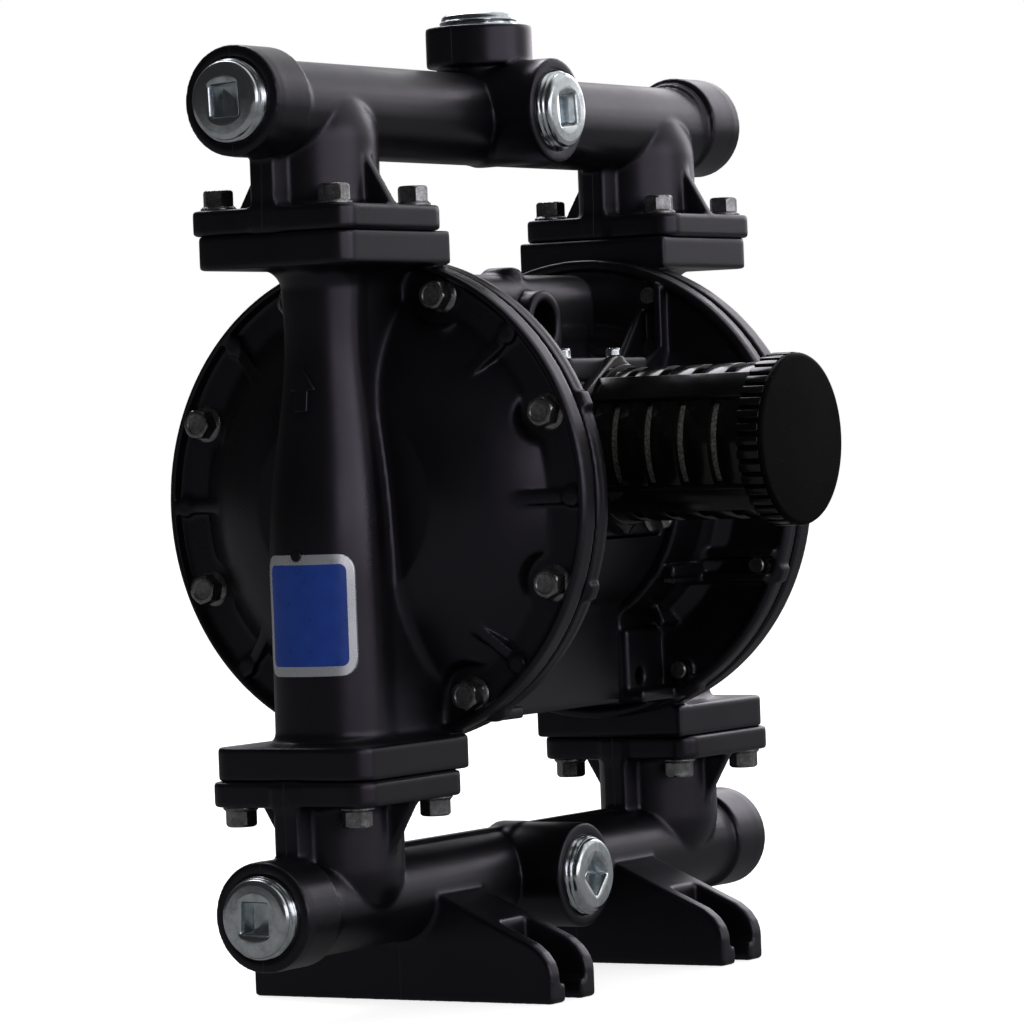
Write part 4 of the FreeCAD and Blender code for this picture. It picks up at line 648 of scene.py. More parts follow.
def fluid_cover_clay():
    """A fluid cover on +X: dome, bolt recesses, rim, ribs, column and flanges, hollow inside."""
    clay = Clay((COVER_PLANE, -COVER_RADIUS, JOINT_BOTTOM), (COLUMN_X + COVER_FLANGE_OUT, COVER_RADIUS, JOINT_TOP))
    rise = arc_points((CHANNEL_FLOOR, DOME_RADIUS), (COVER_PLANE + 0.62 * DOME_HEIGHT, 0.80 * DOME_RADIUS),
                      (COVER_PLANE + DOME_HEIGHT, 0.5 * DOME_RADIUS), 24)
    clay.add(turned([(COVER_PLANE, 0), (COVER_PLANE, DOME_RADIUS)] + rise + [(COVER_PLANE + DOME_HEIGHT + 0.8, 0)]))
    for place in cover_bolts():
        clay.cut(rod(0, place, 12.4, CHANNEL_FLOOR, COVER_PLANE + 60, 0.5, tip=13.6), 2.4)
    rim = COVER_PLANE + RIM_DEPTH
    clay.add(turned([(COVER_PLANE, 0), (COVER_PLANE, COVER_RADIUS), (rim - 1.6, COVER_RADIUS), (rim - 0.6, 99.7),
                     (rim - 0.1, 99.0), (rim, 98.3), (rim - 0.3, 97.3), (CHANNEL_FLOOR + 0.5, 96.0),
                     (CHANNEL_FLOOR, 0)]), 1.6)
    for angle in COVER_RIB_ANGLES:
        def spoke(x, y, z, axes=spoke_axes(angle)):
            out, across = axes(y, z)
            side = np.maximum(np.abs(across) - 2.6, np.abs(out - 82) - 16)
            ridge = x - rim + 1.3 - 0.42 * np.clip(88 - out, 0, 18)
            bar = capped(side, ridge, COVER_PLANE - rim, 0.0, 0.5)
            knob = capped(np.hypot(across, out - 93.0) - 4.1, x, COVER_PLANE, rim - 0.7, 0.5)
            return soft_min(bar, knob, 0.5)

        clay.add(Form((COVER_PLANE, -100, SHAFT_Z - 100), (rim + 8, 100, SHAFT_Z + 100), spoke), 0.8)
    clay.add(column_form(), bpy.context.scene.pump_sizes.fillet / MM)
    for bottom in (JOINT_TOP - COVER_FLANGE, JOINT_BOTTOM):
        clay.add(plate((COVER_PLANE, -COVER_FLANGE_SIDE, bottom),
                       (COLUMN_X + COVER_FLANGE_OUT, COVER_FLANGE_SIDE, bottom + COVER_FLANGE),
                       PLATE_CORNER, 1.0, square_side=-1), 1.6)
    # level the joints again after the soft corners
    for low, high in ((JOINT_TOP, JOINT_TOP + 9), (JOINT_BOTTOM - 9, JOINT_BOTTOM)):
        clay.cut(block((60, -60, low), (200, 60, high), 0.0))
    clay.cut(block((COVER_PLANE - 20, -120, 60), (COVER_PLANE, 120, 340), 0.0))
    inside = [(x - 5, r - 5) for x, r in rise if r - 5 < 66]
    clay.cut(turned([(COVER_PLANE - 5, 0), (COVER_PLANE - 5, 66), (inside[0][0], 66)] + inside
                    + [(COVER_PLANE + DOME_HEIGHT - 4.2, 0)]))
    bore_x = COLUMN_X + COLUMN_BORE_SHIFT
    for sign in (-1, 1):
        level = SHAFT_Z + sign * 40
        clay.cut(rod(0, (0, level), 12, COVER_PLANE + 0.4 * DOME_HEIGHT, bore_x, 0.5))
        bore = sorted((level - sign * 12, SHAFT_Z + sign * (JOINT_OFFSET + 2)))
        clay.cut(rod(2, (bore_x, 0), COLUMN_BORE, *bore, edge=0.3))
    clay.cut(rod(2, (COLUMN_X, 0), CAGE_RADIUS, JOINT_BOTTOM - 3, JOINT_BOTTOM + 26.7, 0.3))
    clay.cut(rod(2, (COLUMN_X, 0), SEAT_RADIUS, JOINT_TOP - SEAT_DEPTH, JOINT_TOP + 3, 0.3))
    for place in cover_bolts():
        clay.cut(rod(0, place, BOLT_HOLE, COVER_PLANE - 3, rim, 0.1))
    return clay


def within(form, radius):
    """A form kept inside a radius round the shaft's line."""
    return Form(form.low, form.high,
                lambda x, y, z: np.maximum(form.at(x, y, z), np.hypot(y, z - SHAFT_Z) - radius))


def air_cover_clay():
    """An air cover on +X: dish, leg, bolt ribs, foot lugs and rim, hollow on the diaphragm's side."""
    clay = Clay((DISH_INNER, -101.5, SHAFT_Z - 101.5), (AIR_FACE, 101.5, SHAFT_Z + 101.5))
    outer, rim = AIR_RADIUS, AIR_BACK - 3.2
    clay.add(turned([(DISH_INNER, 0), (DISH_INNER, DISH_RADIUS), (AIR_BACK - 11, DISH_RADIUS + 1.2),
                     (AIR_BACK - 4, DISH_RADIUS + 4.5), (AIR_BACK, BEAD_INNER), (AIR_BACK, outer), (AIR_FACE, outer),
                     (AIR_FACE, 0)]))
    low = SHAFT_Z - LEG_BOTTOM
    clay.add(block((DISH_INNER, -LEG_HALF_WIDTH, low), (AIR_BACK + 2, LEG_HALF_WIDTH, SHAFT_Z - 40), 1.2), 2.5)
    top = AIR_BACK - 5.5
    for y, z in cover_bolts():
        clay.add(rod(0, (y, z), 6.4, AIR_BACK - 1.6, AIR_BACK + 2, 0.6), 1.0)
        rise = z - SHAFT_Z
        if rise < -60:
            continue
        level = abs(y) > abs(rise)
        along, across = (abs(y), rise) if level else (abs(rise), y)
        turn = 1 if (y if level else rise) > 0 else -1
        for start in (-7.0, 3.4):
            short = not level and abs(across + start) < abs(across) - 1
            reach = 79.0 if short else AIR_RIB_REACH
            flat = along - (26 if level else 22)
            outline = [(AIR_BACK + 1, reach), (top, reach), (top, flat), (DISH_INNER + 4, 50), (AIR_BACK + 1, 50)]
            if short:
                outline[1:3] = [(AIR_BACK - 1, reach)]
            middle, first = (0, SHAFT_Z + across + start) if level else (SHAFT_Z, across + start)
            points = [(px, middle + turn * out) for px, out in outline]
            rib = pushed(2 if level else 1, points, first, first + AIR_RIB_WIDTH, 0.9)
            clay.add(within(rib, AIR_RIB_REACH), 2.0)
    for side in (-1, 1):
        for foot, head, reach in ((-38, -33, 57), (-LEG_BOTTOM, -86, 40), (-LEG_BOTTOM, -60, LEG_HALF_WIDTH + 3)):
            near, far = ordered(side, LEG_HALF_WIDTH - 4, reach)
            clay.add(block((DISH_INNER + 1, near, SHAFT_Z + foot), (AIR_BACK + 1, far, SHAFT_Z + head), 0.8), 1.2)
        strut = [(side * out, SHAFT_Z - drop) for out, drop in ((30.0, 37), (33.4, 37), (42.4, 58), (39.0, 60))]
        clay.add(pushed(0, strut, AIR_BACK - 14, AIR_BACK + 1, 0.8), 1.2)
    clay.add(turned([(rim, 95.2), (rim, outer - 0.6), (rim + 0.8, outer), (AIR_BACK + 1, outer),
                     (AIR_BACK + 1, 95.2)]), 1.2)
    for angle in COVER_BOLT_ANGLES:
        def lug(x, y, z, axes=spoke_axes(angle)):
            out, across = axes(y, z)
            taper = 0.8 * np.maximum(out - AIR_RADIUS, 0)
            side = np.maximum(np.abs(across) - 4.6 + taper, np.abs(out - 98.5) - 3.1)
            return capped(side, x, rim + 1, AIR_FACE - 1.2, 0.8)

        if abs(math.cos(math.radians(angle))) > 0.45:
            clay.add(Form((rim, -103, SHAFT_Z - 103), (AIR_FACE, 103, SHAFT_Z + 103), lug), 0.8)
    for side in (-1, 1):
        clay.cut(rod(1, (DISH_INNER + 12, SHAFT_Z - 80), 3.4, *ordered(side, 24, 44), 0.2), 0.6)
    cavity = turned([(DISH_INNER + 5, 0), (DISH_INNER + 5, 53), (DISH_INNER + 9, 57), (AIR_BACK - 7, 57),
                     (AIR_FACE - 3, 69), (AIR_FACE - 3, BEAD_OUTER), (AIR_FACE + 3, BEAD_OUTER), (AIR_FACE + 3, 0)])
    clay.cut(cavity)
    clay.cut(block((DISH_INNER - 3, -25, low + 5), (AIR_BACK - 5, 25, SHAFT_Z - 66.5), 0.5))
    clay.cut(rod(0, (0, SHAFT_Z), 15, DISH_INNER - 3, DISH_INNER + 8, 0.1))
    for place in cover_bolts():
        clay.cut(rod(0, place, 3.3, top - 3, AIR_FACE + 3, 0.1))
    return clay


def housing_clay():
    """The centre housing: round core, flat footed leg, top block with the air inlet."""
    low = SHAFT_Z - LEG_BOTTOM
    clay = Clay((-66, -BODY_RADIUS, low), (66, BODY_RADIUS, SHAFT_Z + 94.5))
    clay.add(rod(0, (0, SHAFT_Z), BODY_RADIUS, -DISH_INNER, DISH_INNER, 0.6))
    clay.add(block((-DISH_INNER, -LEG_HALF_WIDTH, low), (DISH_INNER, LEG_HALF_WIDTH, SHAFT_Z - 40), 1.0), 4.0)
    top, step = SHAFT_Z + TOP_BLOCK, SHAFT_Z + TOP_STEP
    clay.add(block((-DISH_INNER, -20, SHAFT_Z + 40), (DISH_INNER, 20, step + 6), 1.0), 3.0)

    def top_block(x, y, z):
        beyond = [np.maximum(np.abs(x) - 53, 0), np.maximum(np.abs(y) - 8, 0), np.maximum(z - top + 12, 0)]
        side = np.sqrt(sum(away ** 2 for away in beyond)) - 12
        return capped(side, z, step, top + 20, 0.8)

    clay.add(Form((-65, -20, step), (65, 20, top), top_block), 1.5)
    for side in (-1, 1):
        near, far = ordered(side, 55, 70)
        clay.cut(block((near, -24, step - 3), (far, -14.5, SHAFT_Z + 85), 1.5), 1.5)
    inlet = SHAFT_Z + AIR_INLET
    base = VALVE_HIGH + 1

    def boss(x, y, z):
        side = np.where(z > inlet, np.hypot(x, z - inlet), np.abs(x)) - 14
        return capped(np.maximum(side, base - z), y, -28, 0, 1.2)

    clay.add(Form((-14, -28, base), (14, 0, inlet + 14), boss), 1.0)

    def bump(x, y, z):
        return np.hypot(np.hypot(x, 0.8 * (y + 7)) - 3.5, np.maximum(z - top + 1, 0)) - 4.0

    clay.add(Form((-8, -16, top - 4), (8, 3, top + 3), bump), 1.5)
    clay.cut(block((-43, -70, VALVE_Z - 39), (43, -27, VALVE_Z + 37.6), 0.6))
    clay.cut(rod(1, (0, inlet), 9.0, -32, -6, 0.2), 1.2)
    clay.cut(rod(1, (0, inlet), 10.4, -32, -27.2, 0.1, tip=9.0))
    for side in (-1, 1):
        clay.cut(rod(0, (0, SHAFT_Z), 13.1, *ordered(side, DISH_INNER - 19, DISH_INNER + 3), 0.1))
        clay.cut(rod(0, (22, SHAFT_Z + 12), 6.1, *ordered(side, DISH_INNER - 14, DISH_INNER + 3), 0.1))
    clay.cut(rod(0, (0, SHAFT_Z), 10.5, -DISH_INNER - 2, DISH_INNER + 2, 0.1))
    return clay


def valve_clay():
    """The air valve block with its raised lid edge."""
    low, high = VALVE_LOW, VALVE_HIGH
    ends = (-VALVE_HALF, -VALVE_FRONT, low), (VALVE_HALF, -VALVE_BACK, high)
    clay = Clay(*ends, share=0.75)
    clay.add(block(*ends, 1.6))
    for side in (-1, 1):
        clay.cut(rod(2, (side * (VALVE_HALF + 3), -VALVE_FRONT - 1), 9.0, low + 9, high + 3, 0.2), 1.4)
    clay.cut(rod(0, (-43, VALVE_Z), 9.05, -VALVE_HALF - 3, VALVE_HALF + 3, 0.1))
    clay.cut(rod(1, (0, VALVE_Z), 10, -VALVE_FRONT - 3, -43, 0.2))
    for side in (-1, 1):
        clay.cut(rod(1, (side * 30, low + 8), BOLT_HOLE, -VALVE_FRONT - 3, 3 - VALVE_BACK, 0.1))
        clay.cut(rod(2, (side * 21, -49), 1.75, high - 9, high + 3, 0.1))
    for level in (low + 16, high - 10):
        clay.cut(block((-45, -VALVE_FRONT - 3, level - 0.4), (45, -VALVE_FRONT + 0.7, level + 0.4), 0.1), 0.5)
    return clay


# Node trees

class Nodes:
    """A node tree under construction."""

    def __init__(self, tree):
        self.tree = tree

    def link(self, source, target):
        self.tree.links.new(source, target)

    def feed(self, socket, source):
        """Links a socket to a source, or sets it to a value."""
        if isinstance(source, bpy.types.NodeSocket):
            self.link(source, socket)
        else:
            socket.default_value = source

    def node(self, kind, *sources, **settings):
        """A new node with its settings, its first inputs fed in their order."""
        node = self.tree.nodes.new(kind)
        for name, value in settings.items():
            setattr(node, name, value)
        for socket, source in zip(node.inputs, sources):
            self.feed(socket, source)
        return node

    def fed(self, node, **sources):
        """The node with its inputs fed by name."""
        for name, source in sources.items():
            self.feed(node.inputs[name.replace("_", " ")], source)
        return node

    def maths(self, operation, *sources):
        return self.node("ShaderNodeMath", *sources, operation=operation).outputs[0]


class Tree(Nodes):
    """A Geometry Nodes tree with its named inputs."""

    def __init__(self, name, inputs):
        super().__init__(bpy.data.node_groups.new(name, "GeometryNodeTree"))
        face = self.tree.interface
        face.new_socket("Geometry", in_out="OUTPUT", socket_type="NodeSocketGeometry")
        self.sockets = {}
        for label, kind, value in [("Geometry", "Geometry", None)] + inputs:
            socket = face.new_socket(label, in_out="INPUT", socket_type="NodeSocket" + kind)
            if value is not None:
                socket.default_value = value
            self.sockets[label] = socket
        self.values = self.node("NodeGroupInput").outputs

    def finish(self, geometry):
        """Realized instances with the material, as every tree here ends."""
        real = self.fed(self.node("GeometryNodeRealizeInstances"), Geometry=geometry)
        paint = self.fed(self.node("GeometryNodeSetMaterial"), Geometry=real.outputs["Geometry"],
                         Material=self.values["Material"])
        self.node("NodeGroupOutput", paint.outputs["Geometry"])
        return self


def grown(piece, tree, **values):
    """Runs a tree on a piece with its inputs set, and leaves a plain mesh."""
    modifier = piece.modifiers.new(tree.tree.name, "NODES")
    modifier.node_group = tree.tree
    for label, value in values.items():
        modifier[tree.sockets[label.replace("_", " ")].identifier] = value
    evaluated(piece)
    piece.data.shade_smooth()
    return piece


def points_piece(name, places, directions, spins):
    """A mesh of loose points with a direction and a spin for each, for a tree to place things on."""
    mesh = bpy.data.meshes.new(name)
    mesh.from_pydata([tuple(c * MM for c in p) for p in places], [], [])
    way = mesh.attributes.new("direction", "FLOAT_VECTOR", "POINT")
    way.data.foreach_set("vector", [c for direction in directions for c in direction])
    spin = mesh.attributes.new("spin", "FLOAT", "POINT")
    spin.data.foreach_set("value", spins)
    return linked(name, mesh)


def placing_tree():
    """Puts a copy of one small part on each point, along the point's direction."""
    tree = Tree("Place on points", [("Part", "Object", None), ("Size", "Float", 1.0), ("Material", "Material", None)])
    info = tree.node("GeometryNodeObjectInfo", tree.values["Part"], transform_space="ORIGINAL")
    direction = tree.node("GeometryNodeInputNamedAttribute", "direction", data_type="FLOAT_VECTOR")
    spin = tree.node("GeometryNodeInputNamedAttribute", "spin", data_type="FLOAT")
    align = tree.fed(tree.node("FunctionNodeAlignRotationToVector", axis="Z"), Vector=direction.outputs["Attribute"])
    about = tree.fed(tree.node("FunctionNodeAxisAngleToRotation"), Axis=(0, 0, 1), Angle=spin.outputs["Attribute"])
    turn = tree.fed(tree.node("FunctionNodeRotateRotation", rotation_space="LOCAL"),
                    Rotation=align.outputs["Rotation"], Rotate_By=about.outputs["Rotation"])
    copies = tree.fed(tree.node("GeometryNodeInstanceOnPoints"), Points=tree.values["Geometry"],
                      Instance=info.outputs["Geometry"], Rotation=turn.outputs["Rotation"], Scale=tree.values["Size"])
    return tree.finish(copies.outputs["Instances"])


# Small turned and stacked parts

def quads(rows, count, closed=True):
    """Faces between rows of points with the same count, each row open or closed to a ring."""
    return [(r * count + i, r * count + (i + 1) % count, (r + 1) * count + (i + 1) % count, (r + 1) * count + i)
            for r in range(rows - 1) for i in range(count if closed else count - 1)]


def shell(points, faces):
    """A bmesh from points in millimetres and faces, which later steps mend."""
    mesh = bpy.data.meshes.new("shell")
    mesh.from_pydata([tuple(c * MM for c in p) for p in points], [], faces)
    bm = bmesh.new()
    bm.from_mesh(mesh)
    bpy.data.meshes.remove(mesh)
    return bm


def cast(name, bm, sharp=None):
    """The bmesh as an object, smooth but for edges sharper than this angle."""
    mesh = bpy.data.meshes.new(name)
    bm.to_mesh(mesh)
    bm.free()
    mesh.shade_smooth()
    if sharp is not None:
        mesh.set_sharp_from_angle(angle=math.radians(sharp))
    return linked(name, mesh)


def stacked(name, rings, closed=True, sharp=None):
    """Skins a stack of rings, each a list of points in millimetres with the same count, with or without ends."""
    count = len(rings[0])
    points = [p for ring in rings for p in ring]
    faces = quads(len(rings), count)
    if closed:
        points += [tuple(sum(p[k] for p in ring) / count for k in range(3)) for ring in (rings[0], rings[-1])]
        first, last = len(points) - 2, len(points) - 1
        base = (len(rings) - 1) * count
        faces += [((i + 1) % count, i, first) for i in range(count)]
        faces += [(base + i, base + (i + 1) % count, last) for i in range(count)]
    bm = shell(points, faces)
    bmesh.ops.remove_doubles(bm, verts=bm.verts, dist=1e-6)
    bmesh.ops.recalc_face_normals(bm, faces=bm.faces)
    return cast(name, bm, sharp)


def round_ring(radius, z, count):
    turns = [math.tau * i / count for i in range(count)]
    return [(radius * math.cos(turn), radius * math.sin(turn), z) for turn in turns]


def hex_ring(half_flats, z, count, cap=99.0):
    """A hexagon with broken corners; cap is the largest radius that it may reach."""
    ring = []
    for i in range(count):
        turn = math.tau * i / count
        fold = (turn % (math.pi / 3)) - math.pi / 6
        radius = min(half_flats / math.cos(fold), 1.135 * half_flats, cap)
        ring.append((radius * math.cos(turn), radius * math.sin(turn), z))
    return ring


def square_ring(half, z, count, corner=1.0):
    ring = []
    for i in range(count):
        turn = math.tau * i / count
        c, s = math.cos(turn), math.sin(turn)
        reach = half / max(abs(c), abs(s))
        limit = (half - corner) * math.sqrt(2) + corner
        radius = min(reach, limit)
        ring.append((radius * c, radius * s, z))
    return ring


def bolt_part(name, half_flats, height, washer, washer_height, grip, shank, tip=0.0):
    """A hexagon bolt along +Z with its seat at z = 0; tip is the radius of the sleeve that its end sits in."""
    n, top = 48, washer_height + height
    shaft = [(shank - 0.6, -grip), (shank, 0.7 - grip)]
    if tip > 0:
        shaft = [(tip - 0.5, -grip), (tip, 0.5 - grip), (tip, 2.2 - grip), (shank, 2.4 - grip)]
    shaft.append((shank, 0))
    if washer > 0:
        shaft += [(washer - 0.2, 0), (washer, 0.25), (washer, 0.75), (washer - 0.35, 1.1),
                  (half_flats + 0.9, washer_height - 0.1)]
    rings = [round_ring(radius, z, n) for radius, z in shaft]
    rings += [hex_ring(half_flats + out, z, n, cap * half_flats) for out, z, cap in (
        (0.12, washer_height + 0.05, 2), (0, washer_height + 0.4, 2), (0, top - 1.3, 2), (0, top - 0.9, 1.12),
        (-0.05, top - 0.35, 1.03), (0, top - 0.05, 0.93))]
    rings += [round_ring(share * half_flats, top - drop, n) for share, drop in (
        (0.86, 0), (0.74, 0), (0.66, 0.4), (0.3, 0.45))]
    return stacked(name, rings, sharp=38)


def plug_part(name):
    """A pipe plug along +Z with its port's face at z = 0: square socket, rounded shoulder and thread."""
    n = 96
    pitch = bpy.context.scene.pump_sizes.thread_pitch / MM
    proud, radius, half = PLUG_PROUD, 16.4, 6.35
    rings = [square_ring(half + out, proud - drop, n, corner) for out, drop, corner in (
        (-1.6, 10, 0.8), (-0.2, 9.6, 0.8), (0, 1.0, 0.9), (0.5, 0.25, 1.1), (0.9, 0, 1.6))]
    rings += [round_ring(r, proud - drop, n) for r, drop in (
        (10.4, 0), (10.9, 0.08), (13.2, 0.02), (13.9, 0.14), (14.6, 0.45), (15.15, 0.95), (15.45, 1.55), (15.5, 2.0))]
    z = proud - 2.1
    while z > -6.0:
        ring = []
        for i in range(n):
            turn = math.tau * i / n
            phase = ((z / pitch - i / n) % 1.0)
            crest = 1.0 - abs(2 * phase - 1)
            depth = 0.9 * min(1.0, (proud - 1.9 - z) / 0.9)
            r = radius - 0.9 + depth * min(1.0, 1.15 * crest)
            ring.append((r * math.cos(turn), r * math.sin(turn), z))
        rings.append(ring)
        z -= pitch / 8
    rings.append(round_ring(radius - 1.0, -7, n))
    return stacked(name, rings, sharp=34)


def lathe_part(name, outline, count):
    """A closed outline of (radius, z) points turned round Z."""
    rings = [round_ring(radius, z, count) for radius, z in outline + outline[:1]]
    return stacked(name, rings, False, 40)


def bar_part(name, low, high, edge):
    """A straight bar with broken edges."""
    bm = bmesh.new()
    bmesh.ops.create_cube(bm, size=1.0)
    for vert in bm.verts:
        vert.co = Vector([(a + b) / 2 + (b - a) * c for a, b, c in zip(low, high, vert.co)]) * MM
    bmesh.ops.bevel(bm, geom=bm.edges[:], offset=edge * MM, segments=3, profile=0.5, affect="EDGES")
    return cast(name, bm)


def placed(name, part, finish, slot, places, spins, direction, *nodes, sharp=38):
    """Copies of a part on points, as one finished piece of the pump."""
    piece = points_piece(name, places, [direction] * len(places), spins)
    grown(piece, placing_tree(), Part=part, Size=1.0, Material=paint(finish))
    piece.data.set_sharp_from_angle(angle=math.radians(sharp))
    return settle(piece, "pump", slot, paint(finish), *nodes)


# Materials

class Paint(Nodes):
    """A material with a Principled shader and short ways to add its nodes."""

    def __init__(self, name, colour, roughness, metallic=0.0, **sockets):
        self.material = bpy.data.materials.new(name)
        self.material.use_nodes = True
        super().__init__(self.material.node_tree)
        self.shader = self.fed(self.tree.nodes["Principled BSDF"], Base_Color=(*colour, 1), Roughness=roughness,
                               Metallic=metallic, **sockets)
        self.place = self.node("ShaderNodeTexCoord").outputs["Object"]
        self.bumps = None

    def stretched(self, scale):
        return self.fed(self.node("ShaderNodeMapping"), Scale=scale, Vector=self.place).outputs["Vector"]

    def noise(self, scale, detail=4.0, rough=0.55, place=None):
        return self.fed(self.node("ShaderNodeTexNoise"), Scale=scale, Detail=detail, Roughness=rough,
                        Vector=place or self.place).outputs["Fac"]

    def cells(self, scale):
        return self.fed(self.node("ShaderNodeTexVoronoi"), Scale=scale, Vector=self.place).outputs["Distance"]

    def graded(self, fac, stops):
        """A colour from a ramp of (place, colour) stops."""
        node = self.fed(self.node("ShaderNodeValToRGB"), Fac=fac)
        ends = node.color_ramp.elements
        ends[0].position, ends[1].position = stops[0][0], stops[-1][0]
        ends[0].color, ends[1].color = (*stops[0][1], 1), (*stops[-1][1], 1)
        for at, colour in stops[1:-1]:
            ends.new(at).color = (*colour, 1)
        return node.outputs["Color"]

    def ranged(self, fac, low, high, start=0.3, stop=0.7):
        return self.node("ShaderNodeMapRange", fac, start, stop, low, high).outputs["Result"]

    def mixed(self, fac, a, b):
        mix = self.node("ShaderNodeMix", data_type="RGBA")
        for index, source in ((0, fac), (6, a), (7, b)):
            self.feed(mix.inputs[index], (*source, 1) if isinstance(source, tuple) else source)
        return mix.outputs[2]

    def split(self, vector):
        return self.node("ShaderNodeSeparateXYZ", vector).outputs

    def colour(self, source):
        self.fed(self.shader, Base_Color=source)

    def rough(self, source):
        self.fed(self.shader, Roughness=source)

    def bump(self, height, distance, strength=1.0):
        bump = self.fed(self.node("ShaderNodeBump"), Distance=distance, Strength=strength, Height=height)
        if self.bumps:
            self.fed(bump, Normal=self.bumps)
        self.bumps = bump.outputs["Normal"]
        self.fed(self.shader, Normal=self.bumps)


PAINTS = {}


def paint(name):
    """The named material, made the first time that it is asked for."""
    if name not in PAINTS:
        PAINTS[name] = MAKERS[name](bpy.context.scene.pump_colours)
    return PAINTS[name]


def moulded_black(colours, name="moulded black", seam=False):
    """Satin black moulding: clouded gloss, fine spark texture, faint flow marks and dust."""
    base = tuple(colours.moulding)
    p = Paint(name, base, 0.4, Specular_IOR_Level=0.57, Specular_Tint=(0.88, 0.82, 1.0, 1))
    cloud = p.noise(26, 5, 0.6)
    flow = p.noise(14, 3, 0.5, p.stretched((1, 5, 1)))
    pale = tuple(1.7 * c for c in base)
    worn = p.mixed(p.ranged(cloud, 0.0, 1.0, 0.35, 0.75), base, pale)
    dust = p.ranged(p.cells(420), 1.0, 0.0, 0.035, 0.075)
    sparse = p.ranged(p.noise(60, 2, 0.5), 0.0, 0.5, 0.56, 0.72)
    shade = p.mixed(p.maths("MULTIPLY", dust, sparse), worn, (0.045, 0.043, 0.048))
    gloss = p.maths("ADD", p.ranged(cloud, 0.27, 0.38), p.ranged(flow, -0.04, 0.05))
    p.bump(p.noise(3400, 2, 0.5), 0.00005, 0.5)
    p.bump(p.noise(210, 3, 0.5), 0.00010, 0.35)
    if seam:
        away = p.maths("ABSOLUTE", p.maths("ADD", p.split(p.place)["Y"], p.ranged(flow, -0.0001, 0.0001)))
        line = p.ranged(away, 1.0, 0.0, 0.00008, 0.00034)
        shade = p.mixed(p.maths("MULTIPLY", line, 0.5), shade, (0.016, 0.015, 0.017))
        p.bump(line, 0.0002, 1.0)
    p.colour(shade)
    p.rough(gloss)
    return p.material


def split_black(colours):
    """The manifolds' moulding, with the line where their mould parts."""
    return moulded_black(colours, "parted black", True)


def gloss_black(colours):
    """The muffler's glossy moulding."""
    p = Paint("gloss black", (0.0045, 0.0045, 0.0045), 0.2, Specular_IOR_Level=0.42)
    cloud = p.noise(60, 4, 0.6)
    p.rough(p.ranged(cloud, 0.11, 0.19))
    p.colour(p.mixed(p.ranged(cloud, 0, 1), (0.0014, 0.0015, 0.0014), (0.0034, 0.0036, 0.0033)))
    p.bump(p.noise(900, 2, 0.5), 0.00003, 0.4)
    return p.material


def cap_face(colours):
    """The cap's face: black with a fine even grain and pale specks."""
    p = Paint("grained black", (0.003, 0.003, 0.0033), 0.5, Specular_IOR_Level=0.03)
    p.rough(p.ranged(p.noise(40, 4, 0.6), 0.40, 0.52))
    grain = p.noise(2300, 2, 0.6)
    speck = p.maths("MULTIPLY", p.ranged(p.cells(520), 1.0, 0.0, 0.05, 0.10),
                    p.ranged(p.noise(300, 2, 0.5), 0.0, 1.0, 0.55, 0.62))
    shade = p.mixed(p.ranged(grain, 0, 1, 0.45, 0.75), (0.0014, 0.0014, 0.0017), (0.0042, 0.0040, 0.0046))
    p.colour(p.mixed(speck, shade, (0.13, 0.13, 0.14)))
    p.bump(grain, 0.00003, 0.6)
    return p.material


def dark_steel(colours):
    """Dark plated steel: mottled, with bright rubbed patches."""
    base = tuple(colours.bolt)
    p = Paint("dark plated steel", base, 0.35, 1.0)
    mottle = p.noise(420, 5, 0.65)
    fine = p.noise(1800, 3, 0.6)
    p.colour(p.graded(mottle, [(0.3, tuple(0.6 * c for c in base)), (0.55, base),
                               (0.75, tuple(1.6 * c for c in base))]))
    p.rough(p.ranged(fine, 0.22, 0.40))
    p.bump(mottle, 0.00008, 0.6)
    return p.material


def zinc_plate(colours):
    """Bright zinc: fine turned rings, spangle and grey smears."""
    base = tuple(colours.zinc)
    p = Paint("bright zinc", base, 0.24, 1.0)
    smear = p.noise(150, 5, 0.65)
    fine = p.noise(2600, 3, 0.6)
    p.colour(p.graded(smear, [(0.28, tuple(0.5 * c for c in base)), (0.5, tuple(0.95 * c for c in base)),
                              (0.72, tuple(min(1, 1.15 * c) for c in base))]))
    p.rough(p.ranged(smear, 0.28, 0.13))
    p.bump(fine, 0.00001, 0.4)
    p.bump(smear, 0.00006, 0.5)
    return p.material


def filter_grey(colours):
    """The porous element seen through the slots."""
    p = Paint("porous grey", (0.20, 0.205, 0.18), 0.9)
    grain = p.cells(900)
    p.colour(p.graded(grain, [(0.1, (0.045, 0.048, 0.041)), (0.5, (0.11, 0.113, 0.10)), (0.9, (0.18, 0.18, 0.163))]))
    p.bump(grain, 0.0004, 0.8)
    return p.material


def soft_black(colours):
    """Black rubber of seals and diaphragms."""
    p = Paint("black rubber", (0.02, 0.02, 0.02), 0.6)
    cloud = p.noise(120, 4, 0.6)
    p.colour(p.mixed(cloud, (0.014, 0.014, 0.014), (0.034, 0.033, 0.032)))
    p.rough(p.ranged(cloud, 0.5, 0.75))
    p.bump(p.noise(1500, 2, 0.5), 0.00008, 0.5)
    return p.material


def pale_plastic(colours, name="pale plastic", low=(0.55, 0.54, 0.49), high=(0.74, 0.73, 0.68)):
    """Off-white moulded inner parts."""
    p = Paint(name, high, 0.4)
    cloud = p.noise(90, 4, 0.6)
    p.colour(p.mixed(cloud, low, high))
    p.rough(p.ranged(cloud, 0.32, 0.5))
    p.bump(p.noise(1200, 2, 0.5), 0.00005, 0.5)
    return p.material


def ball_rubber(colours):
    return pale_plastic(colours, "ball rubber", (0.48, 0.45, 0.38), (0.66, 0.63, 0.55))


